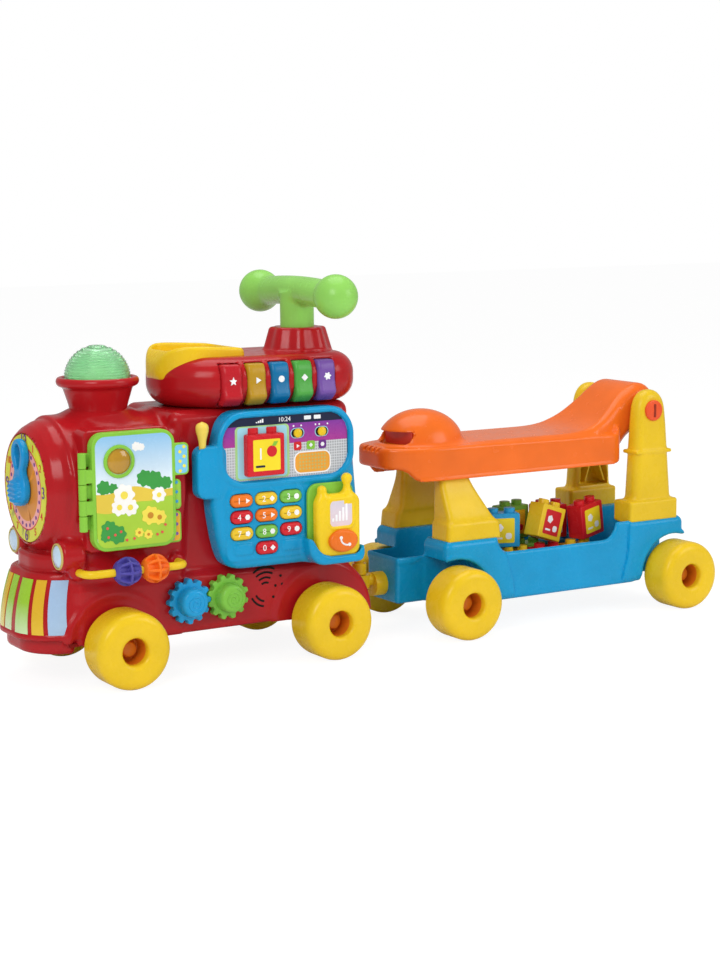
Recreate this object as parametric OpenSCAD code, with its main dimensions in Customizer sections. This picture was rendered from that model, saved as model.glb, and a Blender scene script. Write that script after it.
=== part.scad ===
// Ride on train: a toy locomotive with a hitched wagon that carries the seat.
// Front is -X, the play side is -Y, up is +Z, and the wheels stand on z = 0.

/* [Wheels] */
// wheel diameter
wheel_d = 88; // [84:1:92]
// wheel width
wheel_w = 48; // [42:1:52]
// hole in the wheel's outer face
wheel_hole_d = 31; // [26:1:32]
// distance between the wheel centres of one axle
track = 200; // [198:1:210]
// axle rod diameter
axle_d = 8; // [6:0.5:9]

/* [Train] */
// locomotive front axle to rear axle
loco_wheelbase = 262; // [258:1:275]
// locomotive rear axle to wagon front axle
axle_gap = 187; // [183:1:200]
// wagon front axle to rear axle
wagon_wheelbase = 340; // [335:1:350]

/* [Fits] */
// plastic wall
wall = 3; // [2.4:0.2:3.4]
// radial play of turning pieces
run_fit = 0.05; // [0.03:0.01:0.08]
// gap between pieces that move past each other
gap = 0.4; // [0.3:0.1:0.5]

/* [Boiler and body] */
// boiler radius
boiler_r = 80; // [76:1:81]
// boiler axis height
boiler_z = 218; // [214:1:219]
// boiler front ahead of the front axle
boiler_front = 72; // [66:1:78]
// half width of the lower body
body_half_w = 70; // [66:1:71]
// underside of the body
base_z = 45; // [42:1:46]
// cowcatcher lip ahead of the front axle
cow_reach = 108; // [100:1:114]
// cab length
cab_len = 232; // [226:1:240]
// cab side behind the play panel
cab_near = 62; // [58:1:63]
// cab side away from the play panel
cab_far = 75; // [66:1:78]
// top of the cab
roof_z = 299; // [299:1:301]

/* [Roof pod and handle] */
// pod length
pod_len = 241; // [238:1:246]
// pod half width
pod_half_w = 80; // [78:1:84]
// pod height
pod_h = 58; // [56:1:62]
// handle bar height
handle_z = 423; // [414:1:430]
// handle bar half length to the ball centres
handle_half = 92.5; // [80:0.5:97]
// handle ball diameter
ball_d = 52; // [46:1:56]
// handle bar diameter
bar_d = 32; // [28:1:36]

/* [Chimney and clock] */
// chimney neck radius
chimney_r = 32; // [30:1:34]
// chimney rim radius
rim_r = 47.5; // [46:0.5:49]
// dome radius
dome_r = 38; // [36:1:40]
// clock face radius
clock_r = 60.8; // [56:0.2:60.8]

/* [Book] */
// book width
book_w = 100; // [96:1:104]
// book height
book_h = 131; // [124:1:134]
// thickness of one page
page_t = 3; // [2.4:0.2:3.4]

/* [Beads and gears] */
// bead diameter
bead_d = 33; // [30:0.5:33]
// bead rail rod diameter
rail_d = 9; // [8:0.5:10]
// rail distance from the middle of the train
rail_y = 100; // [98:1:104]
// gear pitch radius
gear_pitch_r = 24.2; // [23.5:0.1:24.6]
// gear teeth
gear_teeth = 12; // [10:1:12]
// gear thickness
gear_t = 13; // [10:1:14]

/* [Play panel] */
// panel face distance from the middle of the train
panel_y = 92; // [90:1:94]
// number key width
key_w = 28; // [24:0.5:28.5]
// number key height
key_h = 14.5; // [12:0.5:15]
// number key travel
key_travel = 2; // [1.5:0.5:2]
// toy phone width
phone_w = 61; // [57:1:62]
// toy phone height
phone_h = 91; // [87:1:92]
// letter block side
block_w = 48; // [46:1:49]
// piano key width
piano_w = 26; // [24:0.5:27]

/* [Wagon] */
// tub half width
tub_half = 85; // [80:1:90]
// nose half width
nose_half = 36; // [34:1:38]
// tub underside
tub_z = 37; // [36:1:38]
// top of the low tub side
side_z = 95; // [88:1:98]
// top of the fenders
fender_z = 118; // [114:1:120]
// wheel arch radius
arch_r = 52; // [50:1:58]

/* [Seat] */
// height of the flat seat
seat_z = 234; // [230:0.5:238]
// half length of the seat's domed nose
nose_len = 58; // [54:1:60]
// radius of the nose across the seat
nose_r = 46.5; // [44:0.5:48]
// half width of the seat
seat_half = 60; // [57:1:64]
// seat hinge height
pivot_z = 258; // [254:1:262]
// seat hinge pin diameter
pin_d = 12; // [10:0.5:14]

/* [Hidden] */
$fn = 48;
far = 400;
wheel_r = wheel_d / 2;
axle_r = axle_d / 2;
cab_x0 = 80;
cab_x1 = cab_x0 + cab_len;
hitch_back = 97;
hitch_x = max(loco_wheelbase + hitch_back, cab_x1 + 47);
wagon_front = hitch_x + axle_gap - hitch_back;
train_len = cow_reach + wagon_front + wagon_wheelbase + wheel_r;
loco_x = cow_reach - train_len / 2;
wagon_x = loco_x + wagon_front;
wheel_y = max(track / 2, body_half_w + wheel_w / 2 + 6);

// boiler, cab and chassis, measured from the locomotive front axle
boiler_end = 86;
cab_z0 = 75;
low_top = 113;
tail_r = 70.5;
tail_x = loco_wheelbase + 5;
body_x0 = -58;
cow_top_z = 128;
cow_lip_z = 66;
cow_low_z = 36;
cow_back = -44;
cow_rake = 23;
shoulder_x = boiler_front - 22;
shoulder_r = boiler_r - 3.5;
clock_t = 3;
lamp_y = body_half_w - 5;
lamp_z = 149;
lamp_r = 18;
lamp_out = 7;
plate_t = 4;
plate_z = base_z + 0.5;
plate_x0 = body_x0 + wall + gap;
plate_x1 = tail_x + 62;
boss_pts = [[40, body_half_w - 9], [loco_wheelbase - 37, body_half_w - 9]];
screw_r = 1.5;

// roof pod
pod_x0 = 84;
pod_r = 25;
pod_end_r = 45;
piano_x0 = 134;
piano_pitch = 30.5;
piano_z0 = roof_z + 3;
piano_z1 = roof_z + 51;
piano_out = 4;
piano_travel = 3;
piano_deep = 18;
speaker_x = loco_wheelbase - 72;
speaker_z = 85;
door_x0 = 118;
door_x1 = 192;
door_half = 34;
door_tab_y = 20;
chute_x0 = 81;
chute_x1 = 184;
chute_half = 46;
boss_x = 276;
boss_h = 27;
stem_r = 19;
boss_low_r = 38;
boss_top_r = 29.5;

// chimney
chimney_x = 16;
chimney_seat_z = boiler_z + boiler_r + 2;
rim_z = chimney_seat_z + 34;
rim_tube = 5.5;
rim_top = rim_z + rim_tube - 1;
dome_sink = 2;

// book: back board on the pad, one loose page, then the cover
book_x0 = -34;
book_z0 = 154;
pad_y = max(boiler_r, body_half_w) + 2;
back_t = 4;
page_y = pad_y + back_t + gap;
cover_y = page_y + page_t + gap;
cover_t = 4;
hinge_x = book_x0 - 10;
hinge_y = cover_y;
hinge_r = 5;
hinge_pin_r = 2.5;
hinge_z0 = 178;
knuckle = 17;

// beads
rail_r = rail_d / 2;
rail_z = 131;
rail_x0 = -46;
rail_x1 = 74;
elbow_r = 10;
bead_1_x = 1.5;
bead_2_x = 35.3;

// gears
gear_x = 87;
gear_z = 84;
gear_pin_r = 5;
gear_y = max(body_half_w, cab_near) + 2;
tooth_h = 2.2;

// play panel, outline in x and z
panel_pts = [[132, 298], [288, 296], [297, 272], [304, 190], [309, 132], [303, 115], [132, 116],
    [121, 142], [112, 196], [119, 254]];
panel_mid = [209, 206];
panel_inset = 1 - wall / 95;
face_t = 4;
screen_x = 209;
screen_z = 253.5;
screen_w = 165;
screen_h = 74;
screen_sink = 2;
block_x = 178;
block_z0 = 223;
block_t = 26;
block_out = 8;
stud_r = 8;
stud_h = 7;
key_x0 = 148;
key_pitch_x = 32;
key_z0 = 196;
key_pitch_z = 19;
key_out = 5;
flange_w = 1.2;
board_y = panel_y - 14;
board_t = 1.6;
switch_z = 268;
switch_x = [224, 256];
switch_r = 5.5;
switch_throw = 5;
phone_x = 263.5;
phone_z0 = 120.5;
phone_back_y = panel_y + 1;
phone_front_y = panel_y + 19;
phone_btn_w = 38;
phone_btn_h = 27;
phone_btn_x = phone_x + 7;
phone_btn_z = 141;
stick_x = 104;
stick_y = 86;
stick_r = 4;
stick_z0 = 203.5;
stick_z1 = 281;
clip_h = 57;

// hitch
hitch_r = 6;
hitch_z0 = 45.5;
hitch_pin_h = 50;
eye_z0 = 57;
eye_h = 16;
eye_r = 13;
plug_r = 15;
plug_drop = 6;

// wagon, measured from the wagon front axle
nose_x0 = -57;
fender_x0 = -16;
tub_x1 = wagon_wheelbase + 18;
mid_x0 = arch_r + 3;
mid_x1 = wagon_wheelbase - arch_r - 3;
low_x0 = mid_x0 + 35;
low_x1 = wagon_wheelbase - 105;
tunnel_w = 18;
tunnel_z = wheel_r + axle_r + 5;
post_y0 = 40;
post_y1 = 82;
post_ledge = 20;
post_top_z = 198;
rear_post_x = wagon_wheelbase - 28;
pivot_x = rear_post_x;
seat_rear_half = post_y0 + 4;
hump_r = 34;
pin_r = pin_d / 2;
pin_head_r = 13.5;
cargo_w = 44;
cargo_t = 24;
cargo_h = 44;
cargo_wall = 2;
cargo_stud = 6;
cargo_z0 = tub_z + wall + 0.1;
cargo_x = (mid_x0 + mid_x1) / 2;

// helpers

module at_loco() translate([loco_x, 0, 0]) children();

module at_wagon() translate([wagon_x, 0, 0]) children();

// a drawing in x and z, made solid from y0 to y1
module along_y(y0, y1) translate([0, y1, 0]) rotate([90, 0, 0]) linear_extrude(y1 - y0) children();

// a drawing in y and z, made solid from x0 to x1
module along_x(x0, x1) translate([x0, 0, 0]) rotate([90, 0, 90]) linear_extrude(x1 - x0) children();

module box(x0, x1, y0, y1, z0, z1) translate([x0, y0, z0]) cube([x1 - x0, y1 - y0, z1 - z0]);

module rod_y(x, z, r, y0, y1) translate([x, y1, z]) rotate([90, 0, 0]) cylinder(r = r, h = y1 - y0);

module rod_x(y, z, r, x0, x1) translate([x0, y, z]) rotate([0, 90, 0]) cylinder(r = r, h = x1 - x0);

// rectangle with round corners
module round_rect(x0, x1, y0, y1, r) {
    translate([x0 + r, y0]) square([x1 - x0 - 2 * r, y1 - y0]);
    translate([x0, y0 + r]) square([x1 - x0, y1 - y0 - 2 * r]);
    for (x = [x0 + r, x1 - r], y = [y0 + r, y1 - r]) translate([x, y]) circle(r);
}

// pill of full width w and height h
module pill(w, h) {
    square([w - h, h], center = true);
    for (s = [-1, 1]) translate([s * (w - h) / 2, 0]) circle(d = h);
}

function arc(x, y, r, a0, a1, n) = [for (i = [0 : n]) [x + r * cos(a0 + (a1 - a0) * i / n),
    y + r * sin(a0 + (a1 - a0) * i / n)]];

function toward(pts, mid, k) = [for (p = pts) mid + (p - mid) * k];

// locomotive body, as a form that can be shrunk by an inset to make the hollow

// plan of the nose: straight sides and a front with round corners
module nose_plan(x0, half, r) {
    x1 = cow_back + 20;
    translate([x0, -half + r]) square([r, 2 * (half - r)]);
    translate([x0 + r, -half]) square([x1 - x0 - r, 2 * half]);
    for (s = [-1, 1]) translate([x0 + r, s * (half - r)]) circle(r);
}

module cow_slab(z, front, half, r, inset) {
    translate([0, 0, z]) linear_extrude(0.5) nose_plan(-front + inset, half - inset, r - inset);
}

module cow_form(inset, low) {
    hull() {
        cow_slab(cow_top_z - inset, cow_reach - cow_rake, body_half_w - 8, 46, inset);
        cow_slab(cow_lip_z, cow_reach, body_half_w, 56, inset);
    }
    translate([0, 0, low]) linear_extrude(cow_lip_z - low + 0.2)
        nose_plan(-cow_reach + 4 + inset, body_half_w - 4 - inset, 54 - inset);
}

module body_form(inset, low) {
    rod_x(0, boiler_z, boiler_r - inset, -shoulder_x + inset, boiler_end - inset);
    // shoulder that narrows from the boiler to the clock
    translate([-boiler_front + inset, 0, boiler_z]) rotate([0, 90, 0])
        cylinder(r1 = clock_r + 1.7 - inset, r2 = shoulder_r - inset, h = boiler_front - shoulder_x + 1);
    box(body_x0 + inset, boiler_end - inset, -body_half_w + inset, body_half_w - inset, low,
        boiler_z - inset);
    box(body_x0 + inset, tail_x, -body_half_w + inset, body_half_w - inset, low, low_top - inset);
    box(cab_x0 + inset, cab_x1 - inset, -cab_near + inset, cab_far - inset, cab_z0 + inset, roof_z - inset);
    intersection() {
        rod_y(tail_x, wheel_r, tail_r - inset, -body_half_w + inset, body_half_w - inset);
        box(tail_x - 1, far, -far, far, low, far);
    }
    cow_form(inset, min(low, cow_low_z));
}

module loco_shell(side) {
    intersection() {
        union() {
            difference() {
                body_form(0, base_z);
                body_form(wall, base_z - 12);
                for (x = [0, loco_wheelbase]) rod_y(x, wheel_r, axle_r + 3, -far, far);
            }
            // chimney seat on the boiler top
            difference() {
                translate([chimney_x, 0, boiler_z + boiler_r - 14]) cylinder(r = chimney_r - 5, h = 16);
                rod_x(0, boiler_z, boiler_r - wall, -boiler_front, boiler_end);
            }
            // lamp housings
            for (s = [-1, 1]) rod_x(s * lamp_y, lamp_z, lamp_r, body_x0 - lamp_out, body_x0 + 1);
            children();
        }
        if (side < 0) box(-far, far, -far, 0, 0, far);
        else box(-far, far, 0, far, 0, far);
    }
}

module screw_bosses(side) {
    for (p = boss_pts) translate([p[0], side * p[1], plate_z + plate_t]) difference() {
        cylinder(r = 6.5, h = 28);
        translate([0, 0, -1]) cylinder(r = screw_r, h = 22);
    }
}

module loco_shell_left() color("#b3161b") at_loco() loco_shell(-1) {
    screw_bosses(-1);
    // flat pad behind the book
    difference() {
        along_y(-pad_y, -body_half_w + 12) round_rect(book_x0 - 4, book_x0 + book_w, book_z0 - 2,
            book_z0 + book_h + 2, 8);
        rod_x(0, boiler_z, boiler_r - 1, -far, far);
        box(-far, far, -body_half_w + 1, 0, 0, boiler_z);
    }
    // pins that the gears turn on
    for (i = [0, 1]) rod_y(gear_x + i * 2 * gear_pitch_r, gear_z, gear_pin_r, -gear_y - gear_t + 3,
        -body_half_w + 1);
}

module loco_shell_right() color("#b3161b") at_loco() loco_shell(1) screw_bosses(1);

module base_plate() color("#8c1216") at_loco() {
    difference() {
        union() {
            box(plate_x0, plate_x1, -body_half_w + wall + gap, body_half_w - wall - gap, plate_z,
                plate_z + plate_t);
            // blocks that carry the axles
            for (x = [0, loco_wheelbase], s = [-1, 1])
                translate([x - 11, s * 50 - 9, wheel_r - axle_r - 6])
                    cube([22, 18, plate_z + plate_t + 6 - wheel_r + axle_r + 6]);
        }
        for (x = [0, loco_wheelbase]) {
            rod_y(x, wheel_r, axle_r + run_fit, -far, far);
            box(x - axle_r - 3, x + axle_r + 3, -41, 41, 0, wheel_r + axle_r + 3);
            for (s = [-1, 1]) box(x - axle_r - 3, x + axle_r + 3, s * 63 - 4, s * 63 + 4, 0,
                wheel_r + axle_r + 3);
        }
        box(door_x0, door_x1, -door_half, door_half, 0, far);
        for (p = boss_pts, s = [-1, 1]) translate([p[0], s * p[1], 0]) cylinder(r = screw_r + 0.3, h = far);
    }
}

module battery_door() color("#8c1216") at_loco() {
    tab_z = plate_z + plate_t;
    box(door_x0 + gap, door_x1 - gap, -door_half + gap, door_half - gap, plate_z, plate_z + 2.4);
    for (s = [-1, 1]) {
        box(door_x0 - 5, door_x0 + 7, s * door_tab_y - 5, s * door_tab_y + 5, tab_z + 0.1, tab_z + 2);
        box(door_x0 + gap, door_x0 + 7, s * door_tab_y - 5, s * door_tab_y + 5, plate_z + 2, tab_z + 2);
        box(door_x1 - 7, door_x1 + 5, s * door_tab_y - 5, s * door_tab_y + 5, tab_z + 0.1, tab_z + 2);
        box(door_x1 - 7, door_x1 - gap, s * door_tab_y - 5, s * door_tab_y + 5, plate_z + 2, tab_z + 2);
    }
}

module batteries() color("#3f7f46") at_loco()
    for (y = [-9, 9]) translate([0, y, plate_z + 2.6 + 7.2]) {
        rod_x(0, 0, 7.2, 130, 178);
        rod_x(0, 0, 2.6, 177, 180);
    }

module speaker() color("#2b2b2e") at_loco() {
    rod_y(speaker_x, speaker_z, 23, -body_half_w + wall + 0.2, -body_half_w + wall + 8);
    rod_y(speaker_x, speaker_z, 13, -body_half_w + wall + 7, -body_half_w + wall + 20);
}

// roof pod and handle

module pod_form(inset) {
    intersection() {
        along_x(pod_x0 + inset, pod_x0 + pod_len - inset)
            round_rect(-pod_half_w + inset, pod_half_w - inset, roof_z + inset, roof_z + pod_h - inset,
                pod_r - inset);
        along_y(-far, far) round_rect(pod_x0 + inset, pod_x0 + pod_len - inset, roof_z + inset,
            roof_z + pod_h - inset, pod_r - inset);
        translate([0, 0, roof_z - 50]) linear_extrude(pod_h + 100) {
            translate([pod_x0 + pod_half_w, 0]) circle(pod_half_w - inset);
            round_rect(pod_x0 + pod_half_w - pod_end_r, pod_x0 + pod_len - inset, -pod_half_w + inset,
                pod_half_w - inset, pod_end_r - inset);
        }
    }
}

// the room of one key, with play round it and room behind it to be pressed into
module piano_slot(i, play, room) {
    box(piano_x0 + i * piano_pitch - play, piano_x0 + i * piano_pitch + piano_w + play,
        -far, -pod_half_w + piano_deep + room, piano_z0 - play, piano_z1 + play);
}

module roof_pod() color("#b3161b") at_loco() {
    difference() {
        union() {
            difference() {
                pod_form(0);
                pod_form(wall);
            }
            translate([boss_x, 0, roof_z + pod_h - wall - 1])
                cylinder(r1 = boss_low_r, r2 = boss_top_r, h = boss_h + wall + 1);
        }
        for (i = [0 : 4]) piano_slot(i, gap, piano_travel + 1);
        translate([boss_x, 0, roof_z + pod_h - wall + 2]) cylinder(r = stem_r, h = boss_h + 10);
    }
}

module piano(i) at_loco() intersection() {
    piano_slot(i, 0, 0);
    difference() {
        pod_form(-piano_out);
        pod_form(8);
    }
}

module piano_1() color("#c4232b") piano(0);

module piano_2() color("#e0a21c") piano(1);

module piano_3() color("#2a5bb5") piano(2);

module piano_4() color("#5fa834") piano(3);

module piano_5() color("#7a3f98") piano(4);

module roof_chute() color("#ffd21f") at_loco() {
    top = roof_z + pod_h;
    difference() {
        intersection() {
            along_y(-chute_half, chute_half) polygon([[chute_x0 + 1, top - 26], [chute_x0, top - 8],
                [chute_x0 + 6, top + 5], [chute_x0 + 18, top + 12], [chute_x0 + 40, top + 12],
                [chute_x1 - 6, top + 9], [chute_x1, top + 5], [chute_x1, top - 4], [chute_x0 + 48, top - 6],
                [chute_x0 + 30, top - 10], [chute_x0 + 16, top - 26]]);
            translate([0, 0, roof_z]) linear_extrude(200) {
                translate([chute_x0 + chute_half, 0]) circle(chute_half);
                round_rect(chute_x0 + chute_half - 10, chute_x1, -chute_half, chute_half, 10);
            }
        }
        pod_form(-0.2);
        translate([0, 0, top + 3]) linear_extrude(40)
            round_rect(chute_x0 + 14, chute_x1 - 10, -chute_half + 10, chute_half - 10, 18);
    }
}

module handle() color("#6cbf2f") at_loco() translate([boss_x, 0, 0]) {
    translate([0, 0, roof_z + pod_h - wall + 2]) cylinder(r = stem_r, h = handle_z - roof_z - pod_h);
    rod_y(0, handle_z, bar_d / 2, -handle_half, handle_half);
    for (s = [-1, 1]) translate([0, s * handle_half, handle_z]) sphere(d = ball_d);
}

// chimney and clock

module chimney() color("#b3161b") at_loco() difference() {
    union() {
        translate([chimney_x, 0, 0]) rotate_extrude() polygon([[0, chimney_seat_z - 14],
            [chimney_r, chimney_seat_z - 14],
            [chimney_r, chimney_seat_z + 4], [chimney_r + 3, chimney_seat_z + 15],
                [rim_r - 7.5, chimney_seat_z + 26],
            [rim_r - rim_tube, rim_z], [rim_r - rim_tube, rim_top], [0, rim_top]]);
        translate([chimney_x, 0, rim_z]) rotate_extrude() translate([rim_r - rim_tube, 0]) circle(rim_tube);
    }
    rod_x(0, boiler_z, boiler_r + 0.2, -far, far);
    translate([chimney_x, 0, 0]) {
        cylinder(r = chimney_r - 5 + 0.2, h = chimney_seat_z + 0.2);
        cylinder(r = chimney_r - 9, h = rim_top - 4);
        translate([0, 0, rim_top]) cylinder(r = dome_r + 0.2, h = far);
    }
}

module chimney_dome() color("#3fae52") at_loco() translate([chimney_x, 0, rim_top - dome_sink]) rotate_extrude()
    intersection() {
    difference() {
        circle(dome_r);
        circle(dome_r - 2.5);
    }
    translate([0, dome_sink]) square([dome_r + 1, dome_r + 1]);
}

module clock_face() color("#d8cf3a") at_loco() translate([-boiler_front, 0, boiler_z])
    rotate([0, -90, 0]) difference() {
    cylinder(r = clock_r - 0.4, h = clock_t);
    translate([0, 0, -1]) cylinder(r = 5 + run_fit, h = clock_t + 2);
}

module clock_hand() color("#1f6fd0") at_loco() translate([-boiler_front - clock_t - gap, 0, boiler_z])
    rotate([90, 0, -90]) {
    translate([0, 0, -clock_t + 0.1]) cylinder(r = 5, h = clock_t);
    linear_extrude(9) difference() {
        union() {
            circle(19);
            translate([0, 38]) circle(18);
            translate([-13, 0]) square([26, 38]);
        }
        translate([0, 40]) circle(8.5);
    }
    translate([0, -3, 8]) cylinder(r = 15, h = 9);
}

// book

// hinge knuckle number i on the book's upright hinge line
module knuckle(i, bore) translate([hinge_x, -hinge_y, hinge_z0 + i * (knuckle + gap)]) difference() {
    cylinder(r = hinge_r, h = knuckle);
    translate([0, 0, -1]) cylinder(r = bore, h = knuckle + 2);
}

// flat leaf with its finger tab, from y0 outwards
module leaf(y0, t, tab_z, tab_w, tab_h) along_y(-y0 - t, -y0) {
    round_rect(book_x0, book_x0 + book_w, book_z0, book_z0 + book_h, 8);
    round_rect(book_x0 + book_w - 12, book_x0 + book_w + tab_w, tab_z - tab_h / 2, tab_z + tab_h / 2, 5);
}

// arm from the hinge knuckle number i to a leaf
module leaf_arm(i, y0, t) {
    z = hinge_z0 + i * (knuckle + gap);
    difference() {
        union() {
            box(hinge_x, book_x0 + 9, -y0 - t, -y0, z, z + knuckle);
            if (y0 + t < hinge_y) box(hinge_x, hinge_x + hinge_r, -hinge_y, -y0, z, z + knuckle);
        }
        translate([hinge_x, -hinge_y, z - 1]) cylinder(r = hinge_r - 1, h = knuckle + 2);
    }
}

module book_back() color("#5cae3a") at_loco() {
    leaf(pad_y, back_t, 173, 10, 36);
    for (i = [0, 4]) {
        knuckle(i, hinge_pin_r - 0.5);
        leaf_arm(i, pad_y, back_t);
    }
    translate([hinge_x, -hinge_y, hinge_z0]) cylinder(r = hinge_pin_r, h = 5 * knuckle + 4 * gap);
}

module book_page() color("#9fd36a") at_loco() {
    leaf(page_y, page_t, 210, 9, 34);
    knuckle(2, hinge_pin_r + run_fit);
    leaf_arm(2, page_y, page_t);
}

module book_cover() color("#6cc04a") at_loco() {
    leaf(cover_y, cover_t, 250, 17, 36);
    for (i = [1, 3]) {
        knuckle(i, hinge_pin_r + run_fit);
        leaf_arm(i, cover_y, cover_t);
    }
}

// bead rail and beads

module bead_rail() color("#f6c21c") at_loco() {
    rod_x(-rail_y, rail_z, rail_r, rail_x0 + elbow_r, rail_x1 - elbow_r);
    for (s = [-1, 1]) {
        x = s < 0 ? rail_x0 : rail_x1;
        translate([x - s * elbow_r, -rail_y + elbow_r, rail_z]) rotate([0, 0, s < 0 ? 180 : 270])
            rotate_extrude(angle = 90) translate([elbow_r, 0]) circle(rail_r);
        rod_y(x, rail_z, rail_r, -rail_y + elbow_r, -body_half_w);
        rod_y(x, rail_z, rail_r + 4, -body_half_w - 4, -body_half_w);
    }
}

// ball with a bore along the rail
module bead(x) at_loco() translate([x, -rail_y, rail_z]) rotate([0, 90, 0]) rotate_extrude() difference() {
    circle(d = bead_d);
    translate([-bead_d, -bead_d]) square([bead_d + rail_r + run_fit, 2 * bead_d]);
}

module bead_purple() color("#4a3fa0") bead(bead_1_x);

module bead_orange() color("#ef7d1a") bead(bead_2_x);

// gears

module gear(x, phase) at_loco() translate([x, -gear_y, gear_z]) rotate([90, 0, 0]) difference() {
    union() {
        cylinder(r = gear_pitch_r - tooth_h - 0.4, h = gear_t - 3);
        for (i = [0 : gear_teeth - 1]) rotate(360 / gear_teeth * (i + phase)) linear_extrude(gear_t - 3)
            polygon([[gear_pitch_r - tooth_h - 3, -3], [gear_pitch_r + tooth_h, -1.6],
                [gear_pitch_r + tooth_h, 1.6], [gear_pitch_r - tooth_h - 3, 3]]);
        cylinder(r1 = gear_pitch_r - 6, r2 = gear_pitch_r - 10, h = gear_t);
    }
    translate([0, 0, -1]) cylinder(r = gear_pin_r + run_fit, h = gear_t - 1.4);
}

module gear_blue() color("#2a93d6") gear(gear_x, 0);

module gear_green() color("#35a455") gear(gear_x + 2 * gear_pitch_r, 0.5);

// play panel and what is on it

module screen_outline(play) round_rect(screen_x - screen_w / 2 + play, screen_x + screen_w / 2 - play,
    screen_z - screen_h / 2 + play, screen_z + screen_h / 2 - play, 26);

function key_at(i) = i == 0 ? [key_x0 + key_pitch_x, key_z0 - 3 * key_pitch_z]
    : [key_x0 + ((i - 1) % 3) * key_pitch_x, key_z0 - floor((i - 1) / 3) * key_pitch_z];

module play_panel() color("#1f8fe0") at_loco() {
    pocket_x0 = block_x - block_w / 2;
    pocket_x1 = block_x + block_w / 2;
    pocket_z1 = block_z0 + block_w + stud_h;
    pocket_y = panel_y + block_out - block_t;
    cradle_x0 = phone_x - phone_w / 2 - gap;
    cradle_x1 = phone_x + phone_w / 2 + gap;
    difference() {
        union() {
            difference() {
                along_y(-panel_y, -cab_near) polygon(panel_pts);
                along_y(-panel_y + face_t, -cab_near + 1)
                    polygon(toward(panel_pts, panel_mid, panel_inset));
            }
            // pocket that takes the letter block
            box(pocket_x0 - 3, pocket_x1 + 3, -panel_y + 1, -pocket_y + 3, block_z0 - 3, pocket_z1 + 3);
            // cradle under the phone
            box(cradle_x0 - 3, cradle_x1 + 3, -phone_front_y - 3.5, -panel_y + 1, 116.5, phone_z0 + 12);
            // clip that holds the pointer
            box(stick_x - 9, stick_x + 17, -panel_y, -stick_y + 10, stick_z0 - 3, stick_z0 + clip_h);
            // studs that carry the circuit board
            for (x = [key_x0 - 13, key_x0 + 2 * key_pitch_x + 21], z = [key_z0 - 58, key_z0 + 13])
                rod_y(x, z, 3, -panel_y + face_t - 1, -board_y);
        }
        box(pocket_x0 - gap, pocket_x1 + gap, -far, -pocket_y + gap, block_z0 - gap, pocket_z1 + gap);
        along_y(-panel_y - 1, -panel_y + screen_sink) screen_outline(0);
        for (i = [0 : 9]) translate([key_at(i)[0], 0, key_at(i)[1]])
            along_y(-panel_y - 1, -panel_y + face_t + 1) pill(key_w + 2 * gap, key_h + 2 * gap);
        for (x = switch_x) translate([x, 0, switch_z])
            along_y(-panel_y - 1, -panel_y + face_t + 1) pill(7 + 2 * gap + 2 * switch_throw, 7 + 2 * gap);
        box(cradle_x0, cradle_x1, -phone_front_y - gap, -panel_y, phone_z0 - gap, far);
        box(cradle_x0 + 3, cradle_x1 - 3, -far, -panel_y - 2, phone_z0 + 4, far);
        rod_z_slot();
    }
}

// slot in the clip, open towards the front, with a floor under the pointer
module rod_z_slot() {
    translate([stick_x, -stick_y, stick_z0 - gap]) cylinder(r = stick_r + run_fit, h = far);
    box(stick_x - stick_r - run_fit, stick_x + stick_r + run_fit, -far, -stick_y, stick_z0 - gap, far);
}

module circuit_board() color("#2f7d46") at_loco()
    box(key_x0 - 18, key_x0 + 2 * key_pitch_x + 25, -board_y, -board_y + board_t, key_z0 - 64, key_z0 + 14);

module letter_block() color("#d42027") at_loco() {
    y1 = -panel_y - block_out + block_t;
    box(block_x - block_w / 2, block_x + block_w / 2, -panel_y - block_out, y1, block_z0,
        block_z0 + block_w);
    for (s = [-1, 1]) translate([block_x + s * block_w / 4, y1 - block_t / 2, block_z0 + block_w - 1])
        cylinder(r = stud_r, h = stud_h + 1);
}

module slide_switch(i) at_loco() {
    face = -panel_y + screen_sink;
    rod_y(switch_x[i], switch_z, switch_r, face - 4, face - gap);
    rod_y(switch_x[i], switch_z, 3.5, face - 1, -panel_y + face_t + 2);
    rod_y(switch_x[i], switch_z, 7.5, -panel_y + face_t + gap, -panel_y + face_t + 2);
}

module power_switch() color("#f6c21c") slide_switch(0);

module volume_switch() color("#f6c21c") slide_switch(1);

module key(i) at_loco() translate([key_at(i)[0], 0, key_at(i)[1]]) {
    along_y(-panel_y - key_out, -board_y - key_travel - gap) pill(key_w, key_h);
    along_y(-panel_y + face_t + gap, -panel_y + face_t + 2)
        pill(key_w + 2 * flange_w, key_h + 2 * flange_w);
}

module key_1() color("#f0831e") key(1);

module key_2() color("#f2b51e") key(2);

module key_3() color("#3fae49") key(3);

module key_4() color("#d42a2a") key(4);

module key_5() color("#f0831e") key(5);

module key_6() color("#f2b51e") key(6);

module key_7() color("#f2b51e") key(7);

module key_8() color("#3fae49") key(8);

module key_9() color("#d42a2a") key(9);

module key_0() color("#d42a2a") key(0);

module phone() color("#ffd21f") at_loco() {
    x0 = phone_x - phone_w / 2;
    x1 = phone_x + phone_w / 2;
    difference() {
        along_y(-phone_front_y, -phone_back_y - 4) {
            round_rect(x0 + 2, x1, phone_z0, phone_z0 + phone_h - 9, 12);
            translate([x0 + 9, phone_z0 + phone_h - 9]) circle(6.5);
            translate([x1 - 17, phone_z0 + phone_h + 5]) circle(7);
            translate([x1 - 21, phone_z0 + phone_h - 20]) square([8, 25]);
        }
        translate([phone_btn_x, 0, phone_btn_z]) along_y(-far, -phone_front_y + 8)
            pill(phone_btn_w + 2 * gap, phone_btn_h + 2 * gap);
    }
    // back half of the phone
    along_y(-phone_back_y - 4, -phone_back_y) round_rect(x0, x1, phone_z0, phone_z0 + phone_h - 3, 12);
}

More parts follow.
